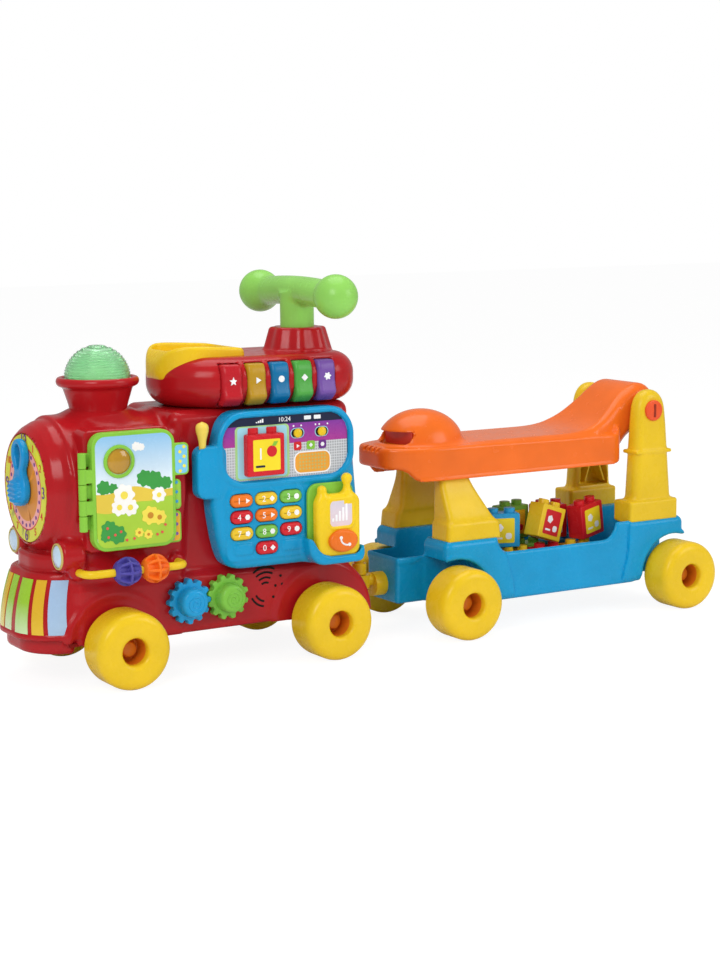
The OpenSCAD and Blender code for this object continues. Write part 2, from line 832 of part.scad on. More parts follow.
module phone_button() color("#ee7a1c") at_loco()
    translate([phone_btn_x, 0, phone_btn_z]) along_y(-phone_front_y - 6, -phone_front_y + 5)
        pill(phone_btn_w, phone_btn_h);

module pointer_stick() color("#ffd21f") at_loco() translate([stick_x, -stick_y, 0]) {
    translate([0, 0, stick_z0]) cylinder(r = stick_r, h = stick_z1 - stick_z0);
    translate([0, 0, stick_z1]) sphere(r = 8);
}

// wheels and axles

module axle(x) rod_y(x, wheel_r, axle_r, -wheel_y - 4, wheel_y + 4);

// one wheel about its own axis, with its outer face towards +z
module wheel() {
    half = wheel_w / 2;
    hole = wheel_hole_d / 2;
    edge = 10;
    lip = 5;
    rotate_extrude() difference() {
        union() {
            translate([hole, -half + edge]) square([wheel_r - hole, wheel_w - 2 * edge]);
            translate([hole + lip, -half]) square([wheel_r - hole - lip - edge, wheel_w]);
            for (s = [-1, 1]) {
                translate([wheel_r - edge, s * (half - edge)]) circle(edge);
                translate([hole + lip, s * (half - lip)]) circle(lip);
            }
            translate([axle_r, -half + lip]) square([hole - axle_r + 1, half - 4]);
        }
        translate([hole + 4, -half - 1]) square([wheel_r - hole - 12, wheel_w - 9]);
        translate([-1, -far]) square([1 + axle_r, 2 * far]);
    }
}

module wheel_pair(x) for (s = [-1, 1]) translate([x, s * wheel_y, wheel_r]) rotate([-s * 90, 0, 0]) wheel();

module loco_front_axle() color("#9a9da1") at_loco() axle(0);

module loco_front_wheels() color("#ffd21f") at_loco() wheel_pair(0);

module loco_rear_axle() color("#9a9da1") at_loco() axle(loco_wheelbase);

module loco_rear_wheels() color("#ffd21f") at_loco() wheel_pair(loco_wheelbase);

module wagon_front_axle() color("#9a9da1") at_wagon() axle(0);

module wagon_front_wheels() color("#ffd21f") at_wagon() wheel_pair(0);

module wagon_rear_axle() color("#9a9da1") at_wagon() axle(wagon_wheelbase);

module wagon_rear_wheels() color("#ffd21f") at_wagon() wheel_pair(wagon_wheelbase);

// hitch

module hitch_post() color("#ffcf1f") at_loco() {
    difference() {
        box(tail_x + 40, hitch_x, -12, 12, hitch_z0, hitch_z0 + 8);
        rod_y(tail_x, wheel_r, tail_r + 0.1, -far, far);
    }
    translate([hitch_x, 0, hitch_z0]) {
        cylinder(r = 12, h = 8);
        cylinder(r = 9, h = eye_z0 - hitch_z0 - gap);
        cylinder(r = hitch_r, h = hitch_pin_h);
        translate([0, 0, eye_z0 + eye_h + gap - hitch_z0]) cylinder(r = 9, h = 14);
        translate([0, 0, hitch_pin_h]) sphere(r = 9);
    }
}

module hitch_bar() color("#ffcf1f") at_loco() {
    front = wagon_front + nose_x0;
    difference() {
        union() {
            translate([hitch_x, 0, eye_z0]) cylinder(r = eye_r, h = eye_h);
            rod_x(0, eye_z0 + eye_h / 2, eye_h / 2 - 0.5, hitch_x, front - 1);
            rod_x(0, eye_z0 + eye_h / 2 - plug_drop, plug_r, front - 16, front);
        }
        translate([hitch_x, 0, 0]) cylinder(r = hitch_r + run_fit, h = far);
    }
}

// wagon

module wagon_tub() color("#1f93e8") at_wagon() {
    tunnel_half = nose_half - 1;
    difference() {
        union() {
            translate([0, 0, tub_z]) linear_extrude(fender_z - tub_z)
                round_rect(fender_x0, tub_x1, -tub_half, tub_half, 10);
            translate([0, 0, tub_z]) linear_extrude(side_z - tub_z)
                round_rect(nose_x0, 40, -nose_half, nose_half, 8);
        }
        // wheel wells
        for (x = [0, wagon_wheelbase], s = [-1, 1])
            rod_y(x, wheel_r, arch_r, s < 0 ? -far : nose_half, s < 0 ? -nose_half : far);
        // low middle of both sides
        along_y(-far, far) polygon([[low_x0 - 24, fender_z + 1], [low_x0, side_z], [low_x1, side_z],
            [low_x1 + 12, fender_z + 1]]);
        // hollow of the tub
        difference() {
            union() {
                translate([0, 0, tub_z + wall]) linear_extrude(far)
                    round_rect(nose_x0 + wall, tub_x1 - wall, -nose_half + wall, nose_half - wall, 6);
                translate([0, 0, tub_z + wall]) linear_extrude(far)
                    round_rect(mid_x0, mid_x1, -tub_half + wall, tub_half - wall, 8);
            }
            for (x = [0, wagon_wheelbase]) box(x - tunnel_w / 2, x + tunnel_w / 2, -nose_half, nose_half,
                0, tunnel_z);
        }
        for (x = [0, wagon_wheelbase]) rod_y(x, wheel_r, axle_r + run_fit, -far, far);
    }
}

module front_post() difference() {
    intersection() {
        along_y(post_y0 - 20, post_y1) polygon([[-11, fender_z], [69, fender_z],
            [66, fender_z + post_ledge],
            [62, fender_z + post_ledge], [37, post_top_z], [-4, post_top_z], [-4, fender_z + post_ledge],
                [-9, fender_z + post_ledge]]);
        along_x(-40, 100) polygon([[post_y0, fender_z], [post_y1, fender_z],
            [post_y1 - 2, fender_z + post_ledge],
            [post_y1 - 6, fender_z + post_ledge], [seat_half - wall - 2, post_top_z - 18],
                [seat_half - wall - 2, post_top_z],
            [34, post_top_z], [36, fender_z + post_ledge]]);
    }
    box(4, 50, post_y0 - 12, post_y1 - 12, fender_z - 1, fender_z + post_ledge - 3);
}

module rear_post() difference() {
    along_y(post_y0 + 5, post_y1) {
        polygon([[rear_post_x - 42, fender_z], [rear_post_x + 36, fender_z],
            [rear_post_x + 35, fender_z + post_ledge + 5],
            [rear_post_x + 31, fender_z + post_ledge + 5], [rear_post_x + 25, pivot_z],
                [rear_post_x - 22, pivot_z],
            [rear_post_x - 30, fender_z + post_ledge + 5], [rear_post_x - 38, fender_z + post_ledge + 5]]);
        translate([pivot_x + 1, pivot_z]) circle(24.5);
    }
    along_y(post_y0 + 4, post_y1 - 4) polygon([[rear_post_x - 24, fender_z + 6],
        [rear_post_x + 26, fender_z + 6],
        [rear_post_x + 18, pivot_z - 28], [rear_post_x - 14, pivot_z - 28]]);
    rod_y(pivot_x, pivot_z, pin_r, 0, far);
}

module seat_posts() color("#ffd21f") at_wagon() for (s = [0, 1]) mirror([0, s, 0]) {
    front_post();
    rear_post();
}

nose_z = seat_z - 6;
grip_x = -31;
seat_side = concat([[-50, 205], [-72, 206], [-74, 210], [-74, seat_z - 6], [-69, seat_z],
    [pivot_x - 116, seat_z], [pivot_x - 86, seat_z + 3.5], [pivot_x - 63, seat_z + 13.5],
    [pivot_x - 40, pivot_z + 7.5]],
    arc(pivot_x, pivot_z, hump_r, 125, -60, 14), [[pivot_x - 20, 214], [pivot_x - 42, 192], [-36, 190]]);
seat_hollow = [[-34, 180], [-47, 209], [-70.5, 210], [-70.5, seat_z - wall], [pivot_x - 116, seat_z - wall],
    [pivot_x - 85, seat_z], [pivot_x - 61, seat_z + 9.5], [pivot_x - 50, pivot_z - 8], [pivot_x - 50, 180]];
seat_edge = [[-74, 22], [-68, 36], [-40, 54], [-10, seat_half], [pivot_x - 58, seat_half],
    [pivot_x - 38, seat_rear_half + 3], [pivot_x - 34, seat_rear_half], [far, seat_rear_half]];
seat_plan = concat(seat_edge, [for (i = [len(seat_edge) - 1 : -1 : 0]) [seat_edge[i][0], -seat_edge[i][1]]]);

// egg that lies along the seat, with the nose as its upper half
module nose_egg(long, r) translate([0, 0, nose_z]) rotate([0, 90, 0]) rotate_extrude()
    polygon([for (a = [-90 : 10 : 90]) [r * cos(a), long * sin(a)]]);

module seat() color("#f47a20") at_wagon() {
    difference() {
        union() {
            intersection() {
                along_y(-seat_half, seat_half) polygon(seat_side);
                translate([0, 0, 100]) linear_extrude(300) polygon(seat_plan);
            }
            intersection() {
                nose_egg(nose_len, nose_r);
                box(-far, far, -far, far, seat_z - wall, far);
            }
        }
        intersection() {
            along_y(-seat_half, seat_half) polygon(seat_hollow);
            translate([0, 0, 100]) linear_extrude(300) polygon(toward(seat_plan, [100, 0],
                1 - wall / seat_half));
        }
        nose_egg(nose_len - wall, nose_r - wall);
        // hollow of the hump, between its two cheeks
        along_y(-seat_rear_half + 4, seat_rear_half - 4) {
            translate([pivot_x, pivot_z]) circle(hump_r - wall);
            polygon([[pivot_x - 54, 180], [pivot_x - 54, pivot_z - 9.5], [pivot_x - 40, pivot_z + 2],
                [pivot_x - 19, pivot_z + 20.5], [pivot_x, pivot_z + hump_r - wall - 1], [pivot_x, 180]]);
        }
        // grip window in the nose
        box(-80, grip_x, -34, 34, seat_z + 2, seat_z + 15);
        rod_y(pivot_x, pivot_z, pin_r + run_fit, -far, far);
    }
    // plate behind the grip window
    intersection() {
        nose_egg(nose_len - 1, nose_r - 1);
        box(grip_x, grip_x + 4, -far, far, seat_z - wall, seat_z + 20);
    }
    // bosses round the hinge pins
    for (s = [-1, 1]) difference() {
        rod_y(pivot_x, pivot_z, pin_r + 5, s < 0 ? -seat_rear_half : 20, s < 0 ? -20 : seat_rear_half);
        rod_y(pivot_x, pivot_z, pin_r + run_fit, -far, far);
    }
    // ribs that rest on the front posts
    for (s = [-1, 1]) box(2, 30, s * 46 - 11, s * 46 + 11, post_top_z + 0.3, seat_z - wall + 2);
}

module seat_pins() color("#f06a1a") at_wagon() for (s = [-1, 1]) {
    rod_y(pivot_x, pivot_z, pin_r, s < 0 ? -post_y1 : 22, s < 0 ? -22 : post_y1);
    rod_y(pivot_x, pivot_z, pin_head_r, s < 0 ? -post_y1 - 4 : post_y1, s < 0 ? -post_y1 : post_y1 + 4);
}

// two-stud toy block, open below, standing on its base
module cargo() {
    difference() {
        translate([-cargo_w / 2, -cargo_t / 2, 0]) cube([cargo_w, cargo_t, cargo_h]);
        translate([-cargo_w / 2 + cargo_wall, -cargo_t / 2 + cargo_wall, -1])
            cube([cargo_w - 2 * cargo_wall, cargo_t - 2 * cargo_wall, cargo_h - cargo_wall + 1]);
    }
    for (s = [-1, 1]) translate([s * cargo_w / 4, 0, cargo_h - 1]) cylinder(r = 7, h = cargo_stud + 1);
}

// block on the heap at x and y, turned by yaw and leaning by lean about its lower edge
module heaped(x, y, yaw, lean) {
    translate([x, y, cargo_z0 + cargo_h + cargo_stud + 0.1 + cargo_w / 2 * sin(abs(lean))])
        rotate([0, 0, yaw]) rotate([0, lean, 0]) cargo();
}

module cargo_blocks() color("#e3b81c") at_wagon() {
    // lower layer on the tub floor
    for (x = [-50, 0, 50], y = [-22, 22]) translate([cargo_x + x, y, cargo_z0]) cargo();
    heaped(cargo_x - 66, -14, -20, 0);
    heaped(cargo_x - 12, -28, 12, 18);
    heaped(cargo_x + 26, 10, -8, 0);
    heaped(cargo_x + 66, -22, 14, -8);
    heaped(cargo_x - 20, 30, 10, 0);
}

module screws() color("#8d9196") at_loco() for (p = boss_pts, s = [-1, 1])
    translate([p[0], s * p[1], plate_z - 2.2]) {
    cylinder(r = 3.6, h = 2.2);
    cylinder(r = screw_r, h = 20);
}

loco_shell_left();
loco_shell_right();
base_plate();
battery_door();
batteries();
speaker();
circuit_board();
roof_pod();
roof_chute();
handle();
chimney();
chimney_dome();
clock_face();
clock_hand();
book_back();
book_page();
book_cover();
bead_rail();
bead_purple();
bead_orange();
gear_blue();
gear_green();
play_panel();
letter_block();
power_switch();
volume_switch();
key_1();
key_2();
key_3();
key_4();
key_5();
key_6();
key_7();
key_8();
key_9();
key_0();
piano_1();
piano_2();
piano_3();
piano_4();
piano_5();
phone();
phone_button();
pointer_stick();
loco_front_axle();
loco_front_wheels();
loco_rear_axle();
loco_rear_wheels();
wagon_front_axle();
wagon_front_wheels();
wagon_rear_axle();
wagon_rear_wheels();
hitch_post();
hitch_bar();
wagon_tub();
seat_posts();
seat();
seat_pins();
cargo_blocks();
screws();
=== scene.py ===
# Looks of the ride on train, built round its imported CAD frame. Lengths are millimetres from the
# locomotive's or the wagon's front axle, made metres when a piece is put in.
import math

import bmesh
import bpy
import numpy as np
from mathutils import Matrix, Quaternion, Vector


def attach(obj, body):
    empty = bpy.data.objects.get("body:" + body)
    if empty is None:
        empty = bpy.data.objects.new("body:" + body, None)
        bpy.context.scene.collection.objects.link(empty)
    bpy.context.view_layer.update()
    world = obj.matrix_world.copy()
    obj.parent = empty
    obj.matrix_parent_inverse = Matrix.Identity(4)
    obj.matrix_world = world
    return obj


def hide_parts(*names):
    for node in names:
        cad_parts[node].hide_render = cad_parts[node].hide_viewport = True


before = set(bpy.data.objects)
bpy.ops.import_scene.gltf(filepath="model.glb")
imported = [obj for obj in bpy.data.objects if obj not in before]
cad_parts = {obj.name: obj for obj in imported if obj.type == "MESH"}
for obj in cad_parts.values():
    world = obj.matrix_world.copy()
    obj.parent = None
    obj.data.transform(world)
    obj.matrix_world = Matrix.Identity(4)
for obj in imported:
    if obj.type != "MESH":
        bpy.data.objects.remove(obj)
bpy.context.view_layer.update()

# Studio: the photographer's camera stands at the front left, a little above the train.
# Pale floor, three soft boxes and an even white surround.
scene = bpy.context.scene
WHITE = (1, 1, 1, 1)
FLOOR_HALF = 9
CAMERA_AZIMUTH = math.radians(-30.899)
CAMERA_HEIGHT = math.radians(8.267)
CAMERA_ROLL = math.radians(-0.547)
CAMERA_DISTANCE = 2.4636
CAMERA_TARGET = Vector((-0.00099, 0, 0.19105))
camera = bpy.data.objects.new("camera", bpy.data.cameras.new("camera"))
camera.data.lens = 75.03
camera.data.sensor_width = 36
backwards = Vector((math.sin(CAMERA_AZIMUTH) * math.cos(CAMERA_HEIGHT),
                    -math.cos(CAMERA_AZIMUTH) * math.cos(CAMERA_HEIGHT), math.sin(CAMERA_HEIGHT)))
camera.location = CAMERA_TARGET + backwards * CAMERA_DISTANCE
camera.rotation_mode = "QUATERNION"
camera.rotation_quaternion = (-backwards).to_track_quat("-Z", "Y") @ Quaternion((0, 0, 1), CAMERA_ROLL)
scene.collection.objects.link(camera)
scene.camera = camera
scene.view_settings.view_transform = "Standard"


def soft_box(name, place, aim, size, watts):
    """Square area lamp at a place, turned so that its light goes towards the aim."""
    lamp = bpy.data.objects.new(name, bpy.data.lights.new(name, "AREA"))
    lamp.data.size = size
    lamp.data.energy = watts
    lamp.location = place
    lamp.rotation_euler = (Vector(aim) - Vector(place)).to_track_quat("-Z", "Y").to_euler()
    scene.collection.objects.link(lamp)


soft_box("key_box", (-1.7, -1.5, 1.5), (-0.1, 0, 0.15), 1.1, 24)
soft_box("fill_box", (1.5, -1.9, 1.2), (0.1, 0, 0.15), 1.2, 17)
soft_box("top_box", (0.1, 0.2, 2.2), (0, 0, 0.2), 1.6, 22)


def connect(tree, socket, source):
    """Link a shader socket to the output that feeds it, or set it to a value."""
    if isinstance(source, bpy.types.NodeSocket):
        tree.links.new(source, socket)
    else:
        socket.default_value = source


def feed(tree, node, **inputs):
    """Connect inputs of a shader node by name, with underscores for the spaces in it."""
    for name, source in inputs.items():
        connect(tree, node.inputs[name.replace("_", " ")], source)


def add(tree, kind, **inputs):
    """New shader node of a kind, with its inputs fed."""
    node = tree.nodes.new("ShaderNode" + kind)
    feed(tree, node, **inputs)
    return node


def worked_out(tree, operation, *terms):
    """Output of a math node whose terms are values or other outputs."""
    node = add(tree, "Math")
    node.operation = operation
    for socket, term in zip(node.inputs, terms):
        connect(tree, socket, term)
    return node.outputs[0]


def seen_or_lighting(tree):
    """1 for rays from the eye or through a clear piece, 0 for rays that only carry light."""
    path = add(tree, "LightPath")
    return worked_out(tree, "MAXIMUM", path.outputs["Is Camera Ray"], path.outputs["Is Transmission Ray"])


def mixed(tree, share, first, second):
    """Output that goes from the first shader to the second as the share goes from 0 to 1."""
    mix = add(tree, "MixShader", Fac=share)
    tree.links.new(first.outputs[0], mix.inputs[1])
    tree.links.new(second.outputs[0], mix.inputs[2])
    return mix.outputs[0]


scene.world = bpy.data.worlds.new("white_surround")
scene.world.use_nodes = True
surround = scene.world.node_tree
lighting = surround.nodes["Background"]
feed(surround, lighting, Color=WHITE, Strength=0.42)
seen = add(surround, "Background", Color=WHITE, Strength=1)
surround_mix = mixed(surround, seen_or_lighting(surround), lighting, seen)
feed(surround, surround.nodes["World Output"], Surface=surround_mix)

floor_mesh = bpy.data.meshes.new("floor")
floor_corners = [(u * FLOOR_HALF, v * FLOOR_HALF, 0) for u, v in ((-1, -1), (1, -1), (1, 1), (-1, 1))]
floor_mesh.from_pydata(floor_corners, [], [(0, 1, 2, 3)])
floor = bpy.data.objects.new("floor", floor_mesh)
scene.collection.objects.link(floor)
paper = bpy.data.materials.new("paper_floor")
paper.use_nodes = True
paper_tree = paper.node_tree
matt = paper_tree.nodes["Principled BSDF"]
feed(paper_tree, matt, Base_Color=(0.93, 0.93, 0.93, 1), Roughness=0.9)
glow = add(paper_tree, "Emission", Strength=1.13)
white_share = worked_out(paper_tree, "MULTIPLY", seen_or_lighting(paper_tree), 0.8)
feed(paper_tree, paper_tree.nodes["Material Output"], Surface=mixed(paper_tree, white_share, matt, glow))
floor_mesh.materials.append(paper)

# Locomotive body: two smooth red shells screwed together along the middle, with boiler, cab,
# lower body, cowcatcher, lamp housings and the pad behind the book in one moulding.
LOCO = np.array([-362.5, 0, 0])
BODY_HALF, SHELL_LOW, TAIL_X = 70, 45, 267
BOILER_Z = 218
WHEEL_RADIUS = 44
CHIMNEY_X = 16
LAMP_Y, LAMP_Z = 65, 149
RAIL_ENDS, RAIL_Z = (-46, 74), 131
NOSE_BACK, LIP_Z, NOSE_RISE = 40, 58, 70


def paint(shade):
    """Linear colour of a six-digit screen colour."""
    screen = np.array([int(shade[i:i + 2], 16) / 255 for i in (0, 2, 4)])
    return np.where(screen <= 0.04045, screen / 12.92, ((screen + 0.055) / 1.055) ** 2.4)


def moulded(name, shade, roughness=0.24, drift=0.07, grain=0.05, shine=0.24, **sockets):
    """Moulded plastic: the colour drifts a little over the part, polish and scuffs vary the roughness in
    patches, and a fine tool texture goes into the bump."""
    material = bpy.data.materials.new(name)
    material.use_nodes = True
    tree = material.node_tree
    place = add(tree, "TexCoord").outputs["Object"]

    def cloud(scale, detail):
        return add(tree, "TexNoise", Vector=place, Scale=scale, Detail=detail).outputs["Fac"]

    colours = add(tree, "ValToRGB", Fac=cloud(18, 3))
    for element, position, share in zip(colours.color_ramp.elements, (0.3, 0.7), (1 - drift, 1 + drift)):
        element.position = position
        element.color = (*np.minimum(paint(shade) * share, 1), 1)
    polish = add(tree, "MapRange", Value=cloud(90, 6), From_Min=0.35, From_Max=0.75,
                 To_Min=roughness, To_Max=roughness + 0.12)
    bump = add(tree, "Bump", Height=cloud(1500, 2), Strength=grain, Distance=0.0004)
    feed(tree, tree.nodes["Principled BSDF"], Base_Color=colours.outputs["Color"],
         Roughness=polish.outputs["Result"], Normal=bump.outputs["Normal"],
         Specular_IOR_Level=shine, **sockets)
    return material


def meet(*depths):
    """Distance to where several forms overlap: the length of the depths that are outside, or the least
    depth inside."""
    depths = np.broadcast_arrays(*depths)
    outside = np.sqrt(sum(np.maximum(d, 0) ** 2 for d in depths))
    return outside + np.minimum(np.maximum.reduce(depths), 0)


def span(p, low, high):
    """Depth of a coordinate outside the stretch from low to high."""
    return np.abs(p - (low + high) / 2) - (high - low) / 2


def rounded(r, *depths):
    """Distance to where several forms overlap, with the edges between them rounded to r."""
    return meet(*[depth + r for depth in depths]) - r


def brick(x, y, z, low, high, r):
    """Distance to a box between two corners, with edges rounded to r."""
    return rounded(r, *[span(p, a, b) for p, a, b in zip((x, y, z), low, high)])


def pane(u, v, left, right, low, high, r):
    """Distance to a rectangle with round corners."""
    return rounded(r, span(u, left, right), span(v, low, high))


def bar(u, v, w, centre, radius, low, high, r):
    """Distance to a round bar along w, with end edges rounded to r."""
    return rounded(r, np.hypot(u - centre[0], v - centre[1]) - radius, span(w, low, high))


def torus(u, v, w, radius, tube):
    """Distance to a ring about w: the distance from its middle circle, less the tube."""
    return np.hypot(np.hypot(u, v) - radius, w) - tube


def weld(a, b, fillet):
    """Two forms joined by a fillet: the smaller distance, lowered where the two are nearer to each other
    than the fillet."""
    near = np.maximum(fillet - np.abs(a - b), 0) / fillet
    return np.minimum(a, b) - near * near * fillet / 4


def carve(a, b, fillet):
    """Form a with form b cut away, and the cut's edge rounded over the fillet."""
    return -weld(-a, b, fillet)


CORNERS = np.array([[i, j, k] for i in (0, 1) for j in (0, 1) for k in (0, 1)])
EDGES = [(a, b) for a in range(8) for b in range(a, 8) if np.abs(CORNERS[a] - CORNERS[b]).sum() == 1]


def skin(form, low, high, fine, coarse):
    """Surface where the distance form(x, y, z) is zero. Each grid cell that it passes through gets one
    point, at the mean of the crossings on the cell's edges, then moved along the slope onto the surface.
    Each crossed grid edge gets one quad."""
    step = fine
    axes = [np.arange(a, b + step, step) for a, b in zip(low, high)]
    depth = np.broadcast_to(form(*np.meshgrid(*axes, indexing="ij", sparse=True)), [len(a) for a in axes])
    solid = depth < 0
    ends = (slice(0, -1), slice(1, None))
    filled = sum(solid[ends[i], ends[j], ends[k]].astype(np.int8) for i, j, k in CORNERS)
    cells = np.argwhere((filled > 0) & (filled < 8))
    values = depth[tuple(np.moveaxis(cells[:, None] + CORNERS, -1, 0))]
    total, hits = np.zeros((len(cells), 3)), np.zeros((len(cells), 1))
    for a, b in EDGES:
        crossed = (values[:, a] < 0) != (values[:, b] < 0)
        share = values[:, a] / np.where(crossed, values[:, a] - values[:, b], 1)
        total += crossed[:, None] * (CORNERS[a] + share[:, None] * (CORNERS[b] - CORNERS[a]))
        hits += crossed[:, None]
    points = np.array(low) + (cells + total / hits) * step
    for _ in range(2):
        nudges = np.eye(3) * step / 8
        slope = np.stack([form(*(points + d).T) - form(*(points - d).T) for d in nudges], 1) * 4 / step
        off = np.clip(form(*points.T), -step / 2, step / 2)
        points -= (off / np.maximum((slope ** 2).sum(1), 0.3))[:, None] * slope
    number = np.zeros(filled.shape, int)
    number[tuple(cells.T)] = np.arange(len(cells))
    quads = []
    for axis in range(3):
        u, v = np.eye(3, dtype=int)[(axis + 1) % 3], np.eye(3, dtype=int)[(axis + 2) % 3]
        ahead = np.swapaxes(np.swapaxes(solid, 0, axis)[1:], 0, axis)
        behind = np.swapaxes(np.swapaxes(solid, 0, axis)[:-1], 0, axis)
        starts = np.argwhere(ahead != behind)
        ring = np.stack([number[tuple((starts - d).T)] for d in (0 * u, u, u + v, v)], 1)
        quads.append(np.where(solid[tuple(starts.T)][:, None], ring, ring[:, ::-1]))
    return points, [np.concatenate(quads)]


def put(name, finishes, body, stands_for=(), origin=LOCO, crease=32, tidy=True):
    """One piece of the train. finishes pairs each material with its surfaces, which are (points, face
    arrays) in millimetres. Doubles are merged and faces turned outwards, and edges sharper than the crease
    stay sharp."""
    points, loops, counts, materials, start = [], [], [], [], 0
    for number, surfaces in enumerate(finishes.values()):
        for surface_points, face_arrays in surfaces:
            points.append(np.reshape(surface_points, (-1, 3)))
            for faces in face_arrays:
                loops.append((faces + start).ravel())
                counts.append(np.full(len(faces), faces.shape[1]))
                materials.append(np.full(len(faces), number))
            start += len(points[-1])
    points, loops = (np.concatenate(points) + origin) / 1000, np.concatenate(loops)
    counts, materials = np.concatenate(counts), np.concatenate(materials)
    mesh = bpy.data.meshes.new(name)
    mesh.vertices.add(len(points))
    mesh.vertices.foreach_set("co", points.ravel())
    mesh.loops.add(len(loops))
    mesh.loops.foreach_set("vertex_index", loops)
    mesh.polygons.add(len(counts))
    mesh.polygons.foreach_set("loop_start", np.cumsum(counts) - counts)
    mesh.polygons.foreach_set("material_index", materials)
    mesh.update(calc_edges=True)
    if tidy:
        work = bmesh.new()
        work.from_mesh(mesh)
        bmesh.ops.remove_doubles(work, verts=work.verts, dist=2e-6)
        bmesh.ops.recalc_face_normals(work, faces=work.faces)
        work.to_mesh(mesh)
        work.free()
    mesh.polygons.foreach_set("use_smooth", np.ones(len(mesh.polygons), bool))
    mesh.set_sharp_from_angle(angle=math.radians(crease))
    for finish in finishes:
        mesh.materials.append(finish)
    piece = bpy.data.objects.new(name, mesh)
    scene.collection.objects.link(piece)
    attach(piece, body)
    if stands_for:
        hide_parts(*stands_for)
    return piece


def moulding(name, finish, form, low, high, steps, body, stands_for, origin=LOCO, crease=32):
    """Piece of one finish that is the skin of a form, on a grid of the fine step; the coarse step is not
    used.
    """
    surface = skin(form, low, high, *steps)
    put(name, {finish: [surface]}, body, stands_for, origin, crease, tidy=False)


def nose_sizes(rise):
    """Front, half width and corner of the nose's plan, at a share of the way from its lip to its top."""
    return -100.5 + 15.5 * rise ** 1.8, 70 - 8 * rise, 56 - 10 * rise


def nose_plan(x, y, front, half, corner):
    """Distance to a plan of the nose, which runs back into the body."""
    return pane(x, y, front, NOSE_BACK, -half, half, corner)


def cowcatcher(x, y, z):
    """Sloped nose that grows from its top to its lip, over a set back skirt and under a chin."""
    slope = nose_plan(x, y, *nose_sizes(np.clip((z - LIP_Z) / NOSE_RISE, 0, 1)))
    nose = rounded(3, slope, span(z, LIP_Z - 3, LIP_Z + NOSE_RISE))
    lip = rounded(2, nose_plan(x, y, -102, 71, 57), span(z, LIP_Z - 4, LIP_Z + 2))
    skirt = rounded(5, nose_plan(x, y, -94, 64, 50), span(z, 37, LIP_Z + 8), x + 47)
    chin = rounded(5, nose_plan(x, y, -79, 54, 44), span(z, 120, 147))
    return np.maximum(weld(weld(weld(nose, lip, 2), skirt, 2), chin, 3), x + 34)


def loco_body(x, y, z):
    """Boiler drum with its shoulder, chassis, cab, tail and nose welded with moulded fillets, sunk for the
    dial and hollowed from below."""
    radius, side, half = np.hypot(y, z - BOILER_Z), np.abs(y), BODY_HALF
    drawn_in = np.interp(x, (-75, -68, -58, -48), (63.2, 69.4, 74.4, 76.8))
    shoulder = rounded(1.5, radius - drawn_in, span(x, -75.4, -40))
    body = weld(bar(y, z, x, (0, BOILER_Z), 80, -49, 86, 3), shoulder, 1.5)
    body = weld(body, brick(x, y, z, (-57, -69, 126), (86, 69, 214), 10), 9)
    body = weld(body, brick(x, y, z, (-46, -half, 44), (86, half, 214), 9), 9)
    body = weld(body, brick(x, y, z, (-46, -half, 44), (TAIL_X, half, 113), 8), 7)
    body = weld(body, brick(x, y, z, (78, -62, 75), (312, 75, 299), 13), 8)
    tail = rounded(10, np.hypot(x - TAIL_X, z - WHEEL_RADIUS) - 70.5, span(y, -half, half))
    body = weld(body, np.maximum(tail, SHELL_LOW - z), 6)
    dial_sink = meet(radius - 61.4, span(x, -90, -72.2))
    body = np.maximum(body, -dial_sink)
    lamp_housing = bar(side, z, x, (LAMP_Y, LAMP_Z), 18, -65, -38, 4)
    body = weld(body, lamp_housing, 6)
    arch = torus(x, z - WHEEL_RADIUS, side - 66, 57, 5)
    body = weld(body, np.maximum(arch, 50 - z), 5)
    flare = rounded(6, np.hypot(x - CHIMNEY_X, y) - 34, span(z, 280, 300))
    body = weld(body, flare, 20)
    book_pad = rounded(2, pane(x, z, -38, 66, 152, 287, 8), span(y, -82, -50))
    body = weld(body, book_pad, 3)
    for rail_end in RAIL_ENDS:
        socket = bar(x, z, y, (rail_end, RAIL_Z), 9.5, -78, -60, 4)
        body = weld(body, socket, 5)
    hollow = meet(span(x, -43, 329.4), span(y, -66.9, 66.9), span(z, 0, 56))
    body = np.maximum(np.maximum(body, -hollow), SHELL_LOW - z)
    return weld(body, cowcatcher(x, y, z), 5)


red = moulded("red_shell", "B0181E", 0.15)
moulding("loco_body", red, loco_body, (-116, -90, 30), (345, 84, 312), (2.2, 3.2), "loco",
         ("loco_shell_left", "loco_shell_right"))

# Base: a flat plate screwed in under the shells, with the battery door, and inside the shells the speaker,
# the circuit board and two cells. These stay the CAD solids, with eased edges.


def dress(node, finish, edge=0.5):
    """A CAD solid kept as it is: modifiers merge its triangles and ease its edges, and it gets its own
    finish."""
    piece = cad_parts[node]
    piece.data.materials.clear()
    piece.data.materials.append(finish)
    piece.modifiers.new("merge", "WELD").merge_threshold = 1e-6
    flats = piece.modifiers.new("flats", "DECIMATE")
    flats.decimate_type = "DISSOLVE"
    flats.angle_limit = math.radians(1)
    eased = piece.modifiers.new("eased", "BEVEL")
    eased.width = edge / 1000
    eased.segments = 2
    eased.limit_method = "ANGLE"
    eased.angle_limit = math.radians(40)
    piece.modifiers.new("shading", "WEIGHTED_NORMAL")


base_red = moulded("base_red", "8C1418", 0.4, grain=0.2)
black = moulded("black_plastic", "1C1C1E", 0.5, grain=0.2)
steel = moulded("zinc_steel", "A4A7AB", 0.3, Metallic=1.0)
dress("base_plate", base_red)
dress("battery_door", base_red)
dress("speaker", black)
dress("circuit_board", moulded("board_green", "1F6B3C", 0.45))
dress("batteries", moulded("cell_wrap", "2F7A3C", 0.3))
dress("screws", steel, 0.3)

# Axles: plain steel rods through the base plate and the tub.
for axle in ("loco_front", "loco_rear", "wagon_front", "wagon_rear"):
    dress(axle + "_axle", steel, 0.4)

